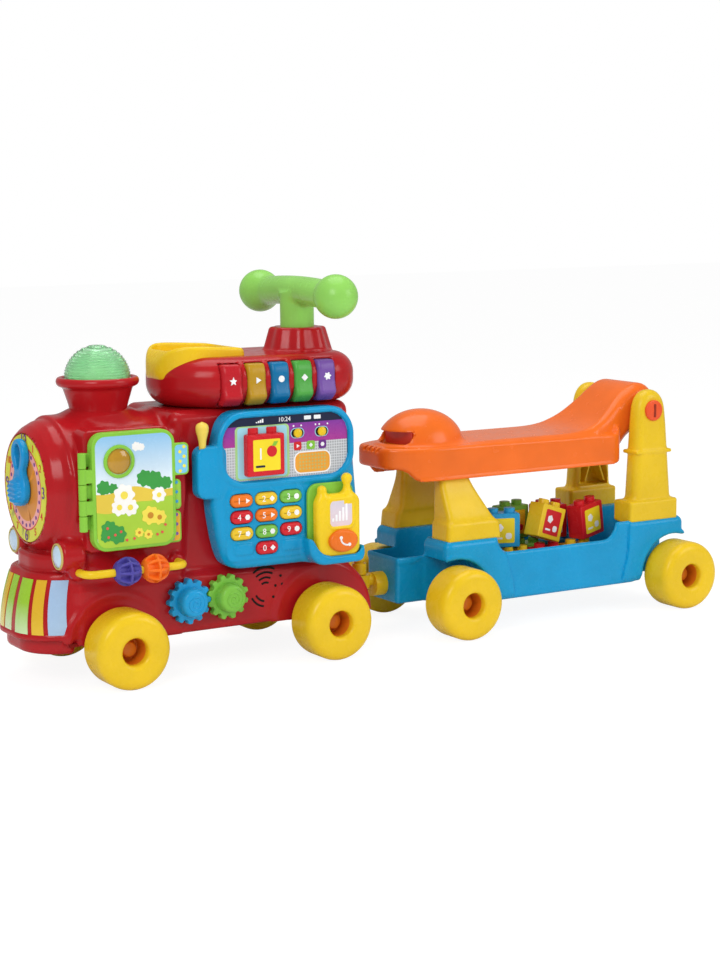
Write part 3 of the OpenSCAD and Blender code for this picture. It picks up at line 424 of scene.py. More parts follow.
# Wheels: fat hollow yellow wheels, moulded like a ring with a deep hub hole, pressed on the axle rods.
WAGON = np.array([86.5, 0, 0])
LOCO_BASE, WAGON_BASE = 262, 340
TRACK_HALF, TYRE_HALF, HUB_HOLE = 100, 24, 15.5


def sheet(points, round_columns=False):
    """Quads over a grid of points, joined to itself round its columns where that is asked."""
    index = np.arange(points.shape[0] * points.shape[1]).reshape(points.shape[:2])
    if round_columns:
        index = np.hstack([index, index[:, :1]])
    quads = np.stack([index[:-1, :-1], index[:-1, 1:], index[1:, 1:], index[1:, :-1]], -1)
    return points.reshape(-1, 3), [quads.reshape(-1, 4)]


def softened(corners, radius, steps=7, closed=False):
    """Line through corners with each one eased: a curve leaves the line at the radius before the corner,
    or halfway where the side is short, and joins it at the radius after."""
    corners = np.asarray(corners, float)
    before, after = np.roll(corners, 1, 0) - corners, np.roll(corners, -1, 0) - corners
    if not closed:
        before[0], after[-1] = 0, 0
    t = np.linspace(0, 1, steps)[None, :, None]

    def leg(way):
        length = np.maximum(np.linalg.norm(way, axis=1, keepdims=True), 1e-9)
        return (way / length * np.minimum(np.reshape(radius, (-1, 1)), length / 2))[:, None]

    curve = corners[:, None] + (1 - t) ** 2 * leg(before) + t ** 2 * leg(after)
    return curve.reshape(-1, corners.shape[1])


def turned(profile, centre, axis, steps=72):
    """Profile of (radius, height) points carried round an axis through the centre."""
    profile, axis = np.asarray(profile, float), np.array(axis, float)
    across = np.roll(np.abs(axis), 1)
    angle = np.linspace(0, 2 * np.pi, steps, endpoint=False)[:, None]
    spokes = np.cos(angle) * across + np.sin(angle) * np.cross(axis, across)
    return sheet(np.array(centre) + profile[:, None, :1] * spokes + profile[:, None, 1:] * axis, True)


TYRE = softened([[4.2, -10], [HUB_HOLE, -10], [HUB_HOLE, -TYRE_HALF], [WHEEL_RADIUS, -TYRE_HALF],
                 [WHEEL_RADIUS, TYRE_HALF], [HUB_HOLE, TYRE_HALF], [15.2, 14]],
                [0.1, 1, 3.5, 7, 13, 8, 0.1], 11)
HUB = softened([[15.2, 14], [14.4, -6], [10.5, -6], [8.8, 4], [0, 5.2]], [0.1, 2, 1.5, 2.5, 0.1], 7)
yellow = moulded("yellow_gloss", "EBC420", 0.22)
# Painted shade: the hub hole's deep wall and floor are darker amber than the tyre, for the shade inside the
# yellow bore.
hub_painted_shade = moulded("hub_painted_shade", "DB7A1C", 0.3)
for place, node in ((LOCO, "loco_front"), (LOCO + [LOCO_BASE, 0, 0], "loco_rear"),
                    (WAGON, "wagon_front"), (WAGON + [WAGON_BASE, 0, 0], "wagon_rear")):
    axle_ends = [((0, side * TRACK_HALF, WHEEL_RADIUS), (0, side, 0)) for side in (-1, 1)]
    tyres, hubs = [[turned(profile, *end, 96) for end in axle_ends] for profile in (TYRE, HUB)]
    put(node + "_wheel_pair", {yellow: tyres, hub_painted_shade: hubs}, node + "_wheelset",
        (node + "_wheels",), place)

# Nose strips and lamp lenses: printed strips set into the cowcatcher's slope between red ribs,
# and two pale lenses, each with a thin straw-coloured rim, pressed into the lamp housings.


def printed(name, low_shade, high_shade, low, high, roughness=0.22):
    """Glossy print whose colour goes from one shade at a low height to another at a high one, with a little
    uneven ink. On the nose strips the paler low colour is a painted reflection."""
    material = moulded(name, low_shade, roughness, grain=0.02)
    tree = material.node_tree
    split = add(tree, "SeparateXYZ", Vector=tree.nodes["Texture Coordinate"].outputs["Object"])
    height = add(tree, "MapRange", Value=split.outputs["Z"], From_Min=low / 1000, From_Max=high / 1000)
    fade = add(tree, "Mix")
    fade.data_type = "RGBA"
    feed(tree, fade, Factor=height.outputs["Result"], A=tree.nodes["Color Ramp"].outputs["Color"],
         B=(*paint(high_shade), 1))
    feed(tree, tree.nodes["Principled BSDF"], Base_Color=fade.outputs["Result"])
    return material


def two_sided(outer, inner):
    """Closed shell of two grids of points, joined along their borders."""
    rows, columns = outer.shape[:2]
    index = np.arange(rows * columns).reshape(rows, columns)
    rim = np.concatenate([index[0, :-1], index[:-1, -1], index[-1, :0:-1], index[:0:-1, 0]])
    back_rim = rim + rows * columns
    walls = np.stack([rim, np.roll(rim, -1), np.roll(back_rim, -1), back_rim], 1)
    faces = sheet(outer)[1][0]
    points = np.concatenate([outer.reshape(-1, 3), inner.reshape(-1, 3)])
    return points, [faces, faces[:, ::-1] + rows * columns, walls]


def nose_strip(start, end, out):
    """Points on the nose's slope, lifted by out, between two shares of the way from its middle to its near
    back edge. Shares below zero are on the far side."""
    rise = np.linspace(0.04, 0.9, 14)[:, None]
    front, half, corner = nose_sizes(rise)
    flat = half - corner
    way = np.linspace(start, end, 14) * (flat + corner * np.pi / 2)
    turn = np.clip((np.abs(way) - flat) / corner, 0, np.pi / 2)
    x = front + corner * (1 - np.cos(turn)) - out * np.cos(turn)
    y = -np.sign(way) * (np.minimum(np.abs(way), flat) + (corner + out) * np.sin(turn))
    return np.stack(np.broadcast_arrays(x, y, LIP_Z + NOSE_RISE * rise), -1)


# Painted reflection: each strip's low colour is paler than its print, standing for the sheen on the lower
# slope.
STRIPS_WITH_PAINTED_REFLECTION = {"strip_leaf": ("DCEFC6", "9CCB33", ((-0.09, 0.09),)),
          "strip_gold": ("EADF8A", "D8B52A", ((-0.27, -0.13),)),
          "strip_lime": ("CFE7B4", "9CC936", ((0.2, 0.415), (-0.43, -0.31))),
          "strip_amber": ("E2BC3A", "DDAE2A", ((0.47, 0.612), (-0.612, -0.47))),
          "strip_sky": ("A9C4E0", "A3C0E0", ((0.665, 0.875), (-0.875, -0.665)))}
for strip, (low_shade, high_shade, stretches) in STRIPS_WITH_PAINTED_REFLECTION.items():
    shells = [two_sided(nose_strip(start, end, 0.7), nose_strip(start, end, -1.5))
              for start, end in stretches]
    put(strip, {printed(strip, low_shade, high_shade, 60, 95): shells}, "loco")

LENS_PROFILE = softened([[0, 4.2], [8, 3.6], [12.6, 1.5], [13, -2], [0, -2]], [1, 6, 2, 0.1, 1])
RIM_PROFILE = softened([[12.8, -2], [13.1, 2.4], [14.7, 2], [15.2, -2]], [0.1, 0.7, 0.7, 0.1])
lens_glass = moulded("lens_pale_blue", "C3DCF0", 0.08, Coat_Weight=0.6)
lens_rim = moulded("lens_rim", "C9B86A", 0.25)
for side, name in ((-1, "lamp_near"), (1, "lamp_far")):
    lamp_at = (-64.6, side * LAMP_Y, LAMP_Z)
    put(name, {lens_glass: [turned(LENS_PROFILE, lamp_at, (-1, 0, 0))],
               lens_rim: [turned(RIM_PROFILE, lamp_at, (-1, 0, 0))]}, "loco")

# Speaker grille: curved slots and round holes in front of the speaker, drawn as flat plates of painted
# shade.
SIDE = np.array([[1, 0, 0], [0, 0, 1], [0, -1, 0]])
FRONT = np.array([[0, -1, 0], [0, 0, 1], [-1, 0, 0]])


def lofted(loops):
    """Closed skin over a stack of loops that have the same number of points, shut at both ends."""
    points, (quads,) = sheet(loops, True)
    count = loops.shape[1]
    first = np.arange(count)[None]
    return points, [quads, first[:, ::-1], first + len(points) - count]


def plate(outline, back, front, rim=0.0, view=SIDE):
    """Flat plate: its outline goes from the back to the front, where it is drawn in over a quarter-round
    rim. The outline's two numbers and the height are right, up and outwards in the view."""
    outline = np.asarray(outline, float)
    ahead = np.roll(outline, -1, 0)
    if np.sum(outline[:, 0] * ahead[:, 1] - ahead[:, 0] * outline[:, 1]) < 0:
        outline = outline[::-1]
    along = np.roll(outline, -1, 0) - np.roll(outline, 1, 0)
    along /= np.maximum(np.linalg.norm(along, axis=1, keepdims=True), 1e-9)
    outwards = np.stack([along[:, 1], -along[:, 0]], 1)
    turn = np.linspace(0, np.pi / 2, 6) if rim else np.zeros(1)
    drawn_in = np.append(0, rim * (1 - np.cos(turn)))
    height = np.append(back, front - rim + rim * np.sin(turn))
    loops = outline - drawn_in[:, None, None] * outwards
    heights = np.broadcast_to(height[:, None, None], (*loops.shape[:2], 1))
    return lofted(np.concatenate([loops, heights], -1) @ view)


def circle(u, v, radius, steps=32):
    """Round outline, or one that follows a radius given at each of its steps."""
    angle = np.linspace(0, 2 * np.pi, steps, endpoint=False)
    return np.stack([u + radius * np.cos(angle), v + radius * np.sin(angle)], 1)


def curved_slot(u, v, radius, start, end, width):
    """Slot along an arc, from one angle to another in degrees."""
    angle = np.radians(np.linspace(start, end, 14))[:, None]
    spoke = np.hstack([np.cos(angle), np.sin(angle)])
    outer, inner = (radius + width / 2) * spoke, (radius - width / 2) * spoke
    return np.array([u, v]) + np.concatenate([outer, inner[::-1]])


SPEAKER_AT = (190, 85)
SLOT_BACK, SLOT_FRONT, SLOT_WIDTH = 68, 70.15, 2.4
ARCS = ((26, 62, 128), (20, 62, 128), (14, 62, 128), (20, 205, 262), (14, 205, 262), (8, 60, 130))
HOLES = ((20, 14), (22, 4), (21, -6), (13, 3), (32, -3), (30, -13), (38, -1), (10, -10), (16, -16))
openings = [curved_slot(*SPEAKER_AT, *arc, SLOT_WIDTH) for arc in ARCS]
openings += [circle(SPEAKER_AT[0] + du, SPEAKER_AT[1] + dv, 1.7) for du, dv in HOLES]
slots = [plate(opening, SLOT_BACK, SLOT_FRONT) for opening in openings]
put("speaker_slots", {moulded("slot_painted_shade", "14090A", 0.7): slots}, "loco", crease=20)

# Chimney: a red flared stack with a rolled rim, and a ribbed clear green dome on it over a pale reflector.
CHIMNEY_AXIS = ((CHIMNEY_X, 0, 0), (0, 0, 1))
STACK = softened([[0, 284], [31, 284], [33, 305], [40, 327], [45.5, 328.5], [47.5, 333.5], [45.5, 338.4],
                  [40.5, 338.2], [39, 335.6], [0, 335.6]], [0.1, 1, 6, 3, 3.4, 3.4, 3.4, 1.5, 0.5, 0.1])
put("chimney_stack", {red: [turned(STACK, *CHIMNEY_AXIS, 96)]}, "loco", ("chimney",))
DOME_Z, DOME_RADIUS, DOME_WALL = 336.5, 38, 2.2
slope = np.linspace(0, np.pi / 2, 150)
ribs = DOME_RADIUS - 0.5 + 0.5 * np.cos(2 * np.pi * DOME_RADIUS * np.sin(slope) / 3.1)
outside = np.stack([ribs * np.cos(slope), DOME_Z + ribs * np.sin(slope)], 1)
dome_hollow = DOME_RADIUS - DOME_WALL
inside = np.stack([dome_hollow * np.cos(slope), DOME_Z + dome_hollow * np.sin(slope)], 1)[::-1]
dome_green = moulded("dome_clear_green", "BFEFC6", 0.06, drift=0.03, grain=0.0, Transmission_Weight=0.82,
                     IOR=1.3)
dome = turned(np.concatenate([outside, inside, outside[:1]]), *CHIMNEY_AXIS, 96)
put("chimney_dome_clear", {dome_green: [dome]}, "loco", ("chimney_dome",), crease=60)
REFLECTOR = softened([[0, 335.7], [34, 335.7], [34, 337.5], [14, 345], [9, 355], [0, 357]],
                     [0.1, 0.1, 1, 8, 4, 3])
reflector_pale = moulded("reflector_pale", "E6EBD8", 0.2)
put("dome_reflector", {reflector_pale: [turned(REFLECTOR, *CHIMNEY_AXIS)]}, "loco")

# Clock: a printed dial pressed into the boiler's ring, and a blue hand with a drop-shaped eye and a ridged
# grip that turns on the dial's hub.
DIAL_BACK, DIAL_FACE = 72, 75
HOUR_RADIUS, MINUTE_RADIUS = 53.5, 42


def ring_plate(inner, outer):
    """Flat ring of the dial."""
    profile = [[inner, DIAL_BACK], [inner, DIAL_FACE], [outer, DIAL_FACE], [outer, DIAL_BACK],
               [inner, DIAL_BACK]]
    return turned(profile, (0, 0, BOILER_Z), (-1, 0, 0), 96)


def on_dial(radius, degrees):
    """Place on the dial, right and up in the front view."""
    return radius * math.cos(math.radians(degrees)), BOILER_Z + radius * math.sin(math.radians(degrees))


def lettering(text, size, right, up, out, view):
    """Letters of the plain font as a mesh, centred on a place in a view and standing 0.2 proud of it."""
    curve = bpy.data.curves.new("lettering", "FONT")
    curve.body = text
    curve.size = size
    curve.align_x, curve.align_y = "CENTER", "CENTER"
    curve.extrude = 0.2
    curve.resolution_u = 3
    holder = bpy.data.objects.new("lettering", curve)
    scene.collection.objects.link(holder)
    mesh = bpy.data.meshes.new_from_object(holder.evaluated_get(bpy.context.evaluated_depsgraph_get()))
    points = np.empty(len(mesh.vertices) * 3)
    mesh.vertices.foreach_get("co", points)
    mesh.calc_loop_triangles()
    triangles = np.empty(len(mesh.loop_triangles) * 3, int)
    mesh.loop_triangles.foreach_get("vertices", triangles)
    bpy.data.objects.remove(holder)
    bpy.data.curves.remove(curve)
    bpy.data.meshes.remove(mesh)
    return (points.reshape(-1, 3) + [right, up, out]) @ view, [triangles.reshape(-1, 3)]


numerals, hour_marks = [], []
for hour in range(1, 13):
    large = hour % 3 == 0
    at = on_dial(HOUR_RADIUS, 90 - 30 * hour)
    figure = lettering(str(hour), 19 if large else 12, *at, DIAL_FACE + 0.3, FRONT)
    (numerals if large else hour_marks).append(figure)
minute_dots = [plate(circle(*on_dial(MINUTE_RADIUS, degrees), 2.2, 12),
                     DIAL_FACE, DIAL_FACE + 0.25, view=FRONT)
               for degrees in range(0, 360, 15)]
dial_lime = moulded("dial_lime", "D9D93A", 0.3)
dial_orange = moulded("dial_orange", "D98A2E", 0.3)
dial_pink = moulded("dial_pink", "F0A7A0", 0.3)
print_red = moulded("print_red", "D3242B", 0.3)
print_purple = moulded("print_purple", "6A2C86", 0.3)
put("dial", {dial_lime: [ring_plate(47.5, 60.4)], print_red: [ring_plate(45.8, 47.5)] + hour_marks,
             dial_pink: [ring_plate(37, 45.8)], dial_orange: [ring_plate(5.05, 37)],
             print_purple: numerals + minute_dots}, "loco", ("clock_face",))


def clock_hand(x, y, z):
    """Hub and lobe joined by a waist, with a drop-shaped eye, and a grip with cross ridges on the hub."""
    up, out = z - BOILER_Z, -x
    waist = meet(span(y, -9, 9), span(up, 0, 38))
    flat = weld(weld(np.hypot(y, up) - 19, np.hypot(y, up - 38) - 18, 6), waist, 8)
    eye = weld(np.hypot(y, up - 41) - 8.5, np.hypot(y, up - 27) - 3, 14)
    hand = rounded(3, carve(flat, eye, 2), span(out, 75.4, 84.4))
    hand = carve(hand, meet(eye, span(out, 70, 95)), 2.5)
    grip = rounded(6, np.hypot(y, up + 3) - 15, span(out, 78, 92.2))
    ridges = 0.7 * np.cos(2 * np.pi * up / 5.4) * np.clip((out - 84) / 4, 0, 1)
    return weld(hand, grip + ridges, 5)


blue_hand = moulded("hand_blue", "1590CF", 0.2)
moulding("clock_hand_moulding", blue_hand, clock_hand, (-95, -23, 194), (-73, 23, 278), (0.9, 1.5),
         "clock_hand", ("clock_hand",))

# Book: a board fixed to the boiler's side, one loose page and a cover with a printed landscape and an amber
# lens. The three turn on one upright hinge of five knuckles, and each has a thumb tab with dots.


def round_rect(left, right, low, high, r, steps=8):
    """Rectangle with round corners: a quarter circle about each corner's centre."""
    turn = np.linspace(0, np.pi / 2, steps)
    centres = ((right - r, high - r), (left + r, high - r), (left + r, low + r), (right - r, low + r))
    arcs = [np.stack([u + r * np.cos(turn + k * np.pi / 2), v + r * np.sin(turn + k * np.pi / 2)], 1)
            for k, (u, v) in enumerate(centres)]
    return np.concatenate(arcs)


HINGE_AT = (-44, -89.8)
COVER_FACE, INK_BACK = 93.8, 93.6
KNUCKLE_LOW, KNUCKLE_PITCH, KNUCKLE_HEIGHT, KNUCKLE_RADIUS = 178, 17.4, 17, 4.6
KNUCKLE = softened([[0, 0], [KNUCKLE_RADIUS, 0], [KNUCKLE_RADIUS, KNUCKLE_HEIGHT], [0, KNUCKLE_HEIGHT]],
                   [0.1, 1, 1, 0.1])
book_green = moulded("book_green", "86C440", 0.24)
tab_finish = {"back": (moulded("tab_amber", "EFB43A", 0.3), moulded("dot_purple", "8A5BB5", 0.3)),
              "page": (moulded("tab_leaf", "9CCB4A", 0.3), moulded("dot_blue", "3A9FD8", 0.3)),
              "cover": (moulded("tab_sky", "7CC4E4", 0.3), moulded("dot_yellow", "F2E24A", 0.3))}
LEAVES = {"back": (82, 86, 173, 18, 76, (0, 4)), "page": (86.4, 89.4, 210, 17, 75, (2,)),
          "cover": (89.8, COVER_FACE, 250, 18, 83, (1, 3))}
PICTURE = (-30, 62, 158, 281)
PICTURE_CORNER = 12


def ground(base, waves, height):
    """Strip of the picture from its lower edge, round at the corners, up to a skyline made of sine
    waves."""
    left, right, low, high = PICTURE
    x = np.linspace(left, right, 70)
    r = PICTURE_CORNER
    past_corner = np.maximum(np.maximum(left + r - x, x - right + r), 0)
    edge = low + r - np.sqrt(np.maximum(r * r - past_corner ** 2, 0))
    skyline = base + sum(swell * np.sin((x - shift) / length) for swell, length, shift in waves)
    top = np.maximum(skyline, edge + 0.1)
    outline = np.concatenate([np.stack([x, edge], 1), np.stack([x, top], 1)[::-1]])
    return plate(outline, INK_BACK, COVER_FACE + height)


def discs(height, steps, *rounds):
    """Plain dots of the picture, all at one height over the cover."""
    return [plate(circle(u, v, radius, steps), INK_BACK, COVER_FACE + height) for u, v, radius in rounds]


def puffs(height, *rounds):
    """Bushes, clouds or flower heads with a scalloped edge, each a little higher than the one before."""
    scallops = 1 + 0.1 * np.cos(np.linspace(0, 14 * np.pi, 56, endpoint=False))
    return [plate(circle(u, v, radius * scallops, 56), INK_BACK, COVER_FACE + height + 0.03 * k)
            for k, (u, v, radius) in enumerate(rounds)]


sky = printed("picture_sky", "E8F1F4", "8FC3E8", 220, 280)
field = moulded("picture_field", "E3C648", 0.28)
meadow = moulded("picture_meadow", "A9CF3F", 0.28)
bush = moulded("picture_bush", "3E9A45", 0.28)
blossom = moulded("picture_blossom", "F7F5F0", 0.28)
poppy = moulded("picture_poppy", "E2574C", 0.28)
straw = moulded("picture_straw", "F2DE55", 0.28)
seeds = moulded("picture_seeds", "C98A2C", 0.28)
POPPIES = ((-18, 180), (-9, 172), (-17, 170), (-2, 175), (5, 165), (14, 166), (42, 168), (52, 178),
           (48, 170))
picture = {sky: [plate(round_rect(*PICTURE, PICTURE_CORNER), INK_BACK, COVER_FACE + 0.1)],
           bush: puffs(0.15, (-21, 225, 8), (-10, 223, 6), (28, 232, 9), (40, 229, 10), (54, 225, 7))
           + puffs(0.75, (-16, 179, 9), (-6, 172, 10), (-20, 171, 6)),
           field: [ground(219, ((3, 22, -20), (2, 9, 0)), 0.33)],
           meadow: [ground(203, ((6, 24, 10), (2, 8, 0)), 0.41)],
           blossom: puffs(0.55, (3, 215, 12), (-3, 202, 9), (10, 201, 9), (45, 212, 8))
           + puffs(0.16, (19, 268, 5), (25, 267, 4)),
           straw: puffs(0.9, (34, 190, 10), (45, 187, 8), (20, 172, 5), (31, 169, 5))
           + discs(0.9, 24, (3, 215, 4.4), (-3, 202, 3.2), (10, 201, 3.2), (45, 212, 2.8)),
           seeds: discs(1.15, 24, (34, 190, 3.6), (45, 187, 2.8), (20, 172, 1.7), (31, 169, 1.7)),
           poppy: discs(1.1, 10, *[(u, v, 1.6) for u, v in POPPIES])}
LENS_AT = ((-2, -INK_BACK, 253), (0, -1, 0))
LENS_RING = softened([[14.5, 0], [14.5, 2.6], [18.5, 2.2], [18.5, 0]], [0.1, 1.5, 1.8, 0.1])
LENS_DOME = softened([[0, 3.6], [9, 3], [14.8, 0]], [0.1, 6, 0.1])
amber = moulded("lens_amber", "B98A1E", 0.1, drift=0.25, Coat_Weight=0.8)
for leaf, (back, front, tab_z, tab_half, tab_end, knuckles) in LEAVES.items():
    board = [plate(round_rect(-34, 66, 154, 285, 16), back, front, 1.2),
             plate(round_rect(54, tab_end, tab_z - tab_half, tab_z + tab_half, 5), back, front - 0.3, 1)]
    for knuckle in knuckles:
        low = KNUCKLE_LOW + KNUCKLE_PITCH * knuckle
        arm = round_rect(HINGE_AT[0], -25, low + 1, low + (KNUCKLE_HEIGHT - 1), 1)
        board.append(turned(KNUCKLE, (*HINGE_AT, low), (0, 0, 1), 28))
        board.append(plate(arm, back + 0.4, front - 0.2, 0.8))
    tab_colour, dot_colour = tab_finish[leaf]
    dots = [plate(circle(tab_end - 11 + 5 * (k % 2), tab_z - 13.5 + 5.4 * k, 1.9, 14),
                  front - 1, front + 0.15)
            for k in range(6)]
    tab_print = round_rect(tab_end - 17, tab_end - 2, tab_z - tab_half + 2, tab_z + tab_half - 2, 4)
    finishes = {book_green: board, dot_colour: dots, tab_colour: [plate(tab_print, front - 1, front - 0.1)]}
    if leaf == "cover":
        finishes |= picture
        finishes[book_green].append(turned(LENS_RING, *LENS_AT, 48))
        finishes[amber] = [turned(LENS_DOME, *LENS_AT, 48)]
    node = "book_" + leaf
    put(node + "_leaf", finishes, "loco" if leaf == "back" else node, (node,), crease=28)

# Bead rail: a bent yellow rod let into two red sockets on the lower body, carrying two lattice balls that
# slide on it.
RAIL_Y, RAIL_RADIUS = -100, 4.5
BEAD_RADIUS, BEAD_BORE, BEAD_ROOM = 16.4, 4.9, 18


def tube(path, radius, normal, steps=20):
    """Round bar along a flat path: rings that stand square to the path, with normal square to the path's
    plane."""
    path, normal = np.asarray(path, float), np.array(normal, float)
    along = np.gradient(path, axis=0)
    along /= np.maximum(np.linalg.norm(along, axis=1, keepdims=True), 1e-9)
    angle = np.linspace(0, 2 * np.pi, steps, endpoint=False)[None, :, None]
    spokes = np.cos(angle) * np.cross(along, normal)[:, None] + np.sin(angle) * normal
    return lofted(path[:, None] + radius * spokes)


first_end, last_end = RAIL_ENDS
rail_path = softened([[first_end, -66], [first_end, RAIL_Y], [last_end, RAIL_Y], [last_end, -66]], 14, 10)
rail_path = np.column_stack([rail_path, np.full(len(rail_path), RAIL_Z)])
put("rail", {yellow: [tube(rail_path, RAIL_RADIUS, (0, 0, 1))]}, "loco", ("bead_rail",))


def lattice_ball(x, y, z):
    """Ball with windows between eight ribs and a middle belt, and a bore along the rail."""
    y, z = y - RAIL_Y, z - RAIL_Z
    radius = np.hypot(y, z)
    ball = np.sqrt(x * x + radius * radius) - BEAD_RADIUS
    turn = np.arctan2(z, y)
    sector = np.abs(turn - np.round(turn / (np.pi / 4)) * (np.pi / 4))
    window = np.maximum(np.maximum(1.7 - radius * np.sin(sector), span(np.abs(x), 1.5, 11.5)), 9.5 - radius)
    ball = carve(ball, window, 1.6)
    return np.maximum(np.maximum(ball, BEAD_BORE - radius), np.abs(x) - 15.4)


BEADS = {"bead_purple": (1.5, moulded("bead_purple", "4E479E", 0.24)),
         "bead_orange": (35.3, moulded("bead_orange", "F2701D", 0.24))}
for bead, (bead_x, finish) in BEADS.items():
    moulding(bead + "_lattice", finish, lattice_ball, (-BEAD_ROOM, RAIL_Y - BEAD_ROOM, RAIL_Z - BEAD_ROOM),
             (BEAD_ROOM, RAIL_Y + BEAD_ROOM, RAIL_Z + BEAD_ROOM), (0.7, 1.3), bead,
             (bead,), LOCO + [bead_x, 0, 0], 50)

# Gears: two meshing wheels with blunt rounded teeth and a drum hub that has a raised swirl on its end.
GEAR_Z = 84
TEETH, ROOT_RADIUS, TOOTH_HEIGHT = 12, 21.6, 4.6
TOOTH_STEEPNESS, TOOTH_BREADTH = 2.4, 0.1
GEAR_STEPS = 288
GEAR_BACK, GEAR_FACE, DRUM_END = 72.3, 82, 97
DRUM = softened([[0, 80], [17.5, 80], [16.6, 93], [14, DRUM_END], [0, DRUM_END]], [0.1, 0.1, 3, 3, 0.1])
GEARS = {"gear_blue": (87, 0, moulded("gear_sky", "1D9CD4", 0.24)),
         "gear_green": (135.4, np.pi, moulded("gear_lime", "7CBF45", 0.24))}
swirl_turn = np.linspace(0, 4.4 * np.pi, 70)
swirl_radius = 1.5 + 0.75 * swirl_turn
for gear, (gear_x, phase, finish) in GEARS.items():
    angle = np.linspace(0, 2 * np.pi, GEAR_STEPS, endpoint=False)
    wave = np.tanh(TOOTH_STEEPNESS * np.cos(TEETH * angle + phase) + TOOTH_BREADTH)
    tooth = 0.5 + 0.5 * wave / math.tanh(TOOTH_STEEPNESS + TOOTH_BREADTH)
    outline = circle(gear_x, GEAR_Z, ROOT_RADIUS + TOOTH_HEIGHT * tooth, GEAR_STEPS)
    toothed = plate(outline, GEAR_BACK, GEAR_FACE, 1.2)
    drum = turned(DRUM, (gear_x, 0, GEAR_Z), (0, -1, 0))
    swirl = np.column_stack([gear_x + swirl_radius * np.cos(swirl_turn),
                             np.full(len(swirl_turn), -DRUM_END),
                             GEAR_Z + swirl_radius * np.sin(swirl_turn)])
    put(gear + "_toothed", {finish: [toothed, drum, tube(swirl, 0.7, (0, 1, 0), 8)]}, gear, (gear,))

# Play panel: a deep sky-blue moulding on the cab's side with a ridge round its screen, a pocket for the
# block, a raised key bed with two blank pads, a curved cradle for the phone and a clip for the pointer.
SCREEN = (126.5, 291.5, 216.5, 290.5, 28)
KEY_COLUMNS = (148, 180, 212)
KEY_ROWS = (196, 177, 158, 139)
KEY_PLACES = [(x, z) for z in KEY_ROWS[:3] for x in KEY_COLUMNS] + [(KEY_COLUMNS[1], KEY_ROWS[3])]
POINTER_AT = (104, -86)


def stencil(corners, margin=45):
    """Signed distance to a closed outline: the least distance to its sides, negative where a line of sight
    to the right crosses an odd number of them. It is worked out once on a square table and read between the
    table's points."""
    low = np.floor(corners.min(0)) - margin
    size = (np.ceil(corners.max(0)) + margin - low).astype(int) + 1
    u, v = low[0] + np.arange(size[0])[:, None], low[1] + np.arange(size[1])[None]
    nearest, within = np.inf, False
    for (a, b), (c, d) in zip(corners, np.roll(corners, -1, 0)):
        run, rise = c - a, d - b
        share = np.clip(((u - a) * run + (v - b) * rise) / max(run * run + rise * rise, 1e-9), 0, 1)
        nearest = np.minimum(nearest, np.hypot(u - a - share * run, v - b - share * rise))
        within = within ^ (((b > v) != (d > v)) & (u < a + (v - b) * run / (rise or 1)))
    table = np.where(within, -nearest, nearest)

    def depth(u, v):
        across, up = np.clip(u - low[0], 0, size[0] - 1.01), np.clip(v - low[1], 0, size[1] - 1.01)
        i, j = np.broadcast_arrays(across.astype(int), up.astype(int))
        s, t = across - i, up - j
        return ((table[i, j] * (1 - s) + table[i + 1, j] * s) * (1 - t)
                + (table[i, j + 1] * (1 - s) + table[i + 1, j + 1] * s) * t)

    return depth


def eased_stencil(corners, radii, steps=5):
    """Stencil of a closed outline whose corners are eased."""
    return stencil(softened(corners, radii, steps, True))


panel_face = eased_stencil([[132, 298], [288, 296], [297, 272], [304, 190], [309, 132], [303, 115],
                            [132, 116], [121, 142], [112, 196], [119, 254]],
                           [22, 18, 16, 30, 16, 16, 22, 16, 20, 26], 6)
cradle_face = eased_stencil([[224, 146], [231, 146], [240, 130], [252, 124.5], [291, 124.5], [296, 132],
                             [299, 134], [301, 124], [297, 114], [238, 114], [226, 128]],
                            [3, 4, 8, 8, 6, 5, 3, 6, 8, 10, 8])


def play_panel(x, y, z):
    """Panel with a round edge, its screen sunk inside a ridge, and pockets for the block, the keys and the
    phone."""
    panel = rounded(9, panel_face(x, z), span(y, -92, -60))
    panel = np.maximum(panel, y + 62)
    screen = pane(x, z, *SCREEN)
    panel = weld(panel, np.hypot(screen - 3.2, y + 91) - 3.6, 4)
    panel = carve(panel, meet(screen, span(y, -110, -90)), 1.5)
    key_bed = rounded(2, pane(x, z, 129, 231, 126, 208, 9), span(y, -93.6, -80))
    panel = weld(panel, key_bed, 3)
    for pad_x in (KEY_COLUMNS[0] + 2, KEY_COLUMNS[2]):
        pad = rounded(2, pane(x, z, pad_x - 13, pad_x + 13, 133, 146, 5), span(y, -95.6, -84))
        panel = weld(panel, pad, 2)
    for key_x, key_z in KEY_PLACES:
        well = pane(x, z, key_x - 14.6, key_x + 14.6, key_z - 7.9, key_z + 7.9, 7.8)
        panel = carve(panel, meet(well, span(y, -120, -76)), 1)
    block_pocket = pane(x, z, 153.5, 202.5, 222.5, 280, 3)
    panel = carve(panel, meet(block_pocket, span(y, -120, -73.5)), 1)
    cradle = rounded(4, cradle_face(x, z), span(y, -114.5, -80))
    phone_room = pane(x, z, 232.6, 296.4, 120, 260, 11.5)
    cradle = carve(cradle, meet(phone_room, span(y, -111.6, -92.8)), 1.2)
    panel = weld(panel, cradle, 6)
    clip = rounded(3, pane(x, z, 95, 130, 200.5, 260.5, 11), span(y, -92, -74))
    panel = weld(panel, clip, 3)
    bore = np.hypot(x - POINTER_AT[0], y - POINTER_AT[1]) - 4.4
    return carve(panel, np.maximum(bore, 203.1 - z), 1)


panel_blue = moulded("panel_blue", "0C97CC", 0.2)
moulding("panel_moulding", panel_blue, play_panel, (90, -120, 108), (316, -56, 304), (1.5, 2.4), "loco",
         ("play_panel",))

# Screen print: a thin card in the panel's recess, with a dark top bar, coloured bands, a fine grid
# and plain symbols.
CARD_BACK = 89


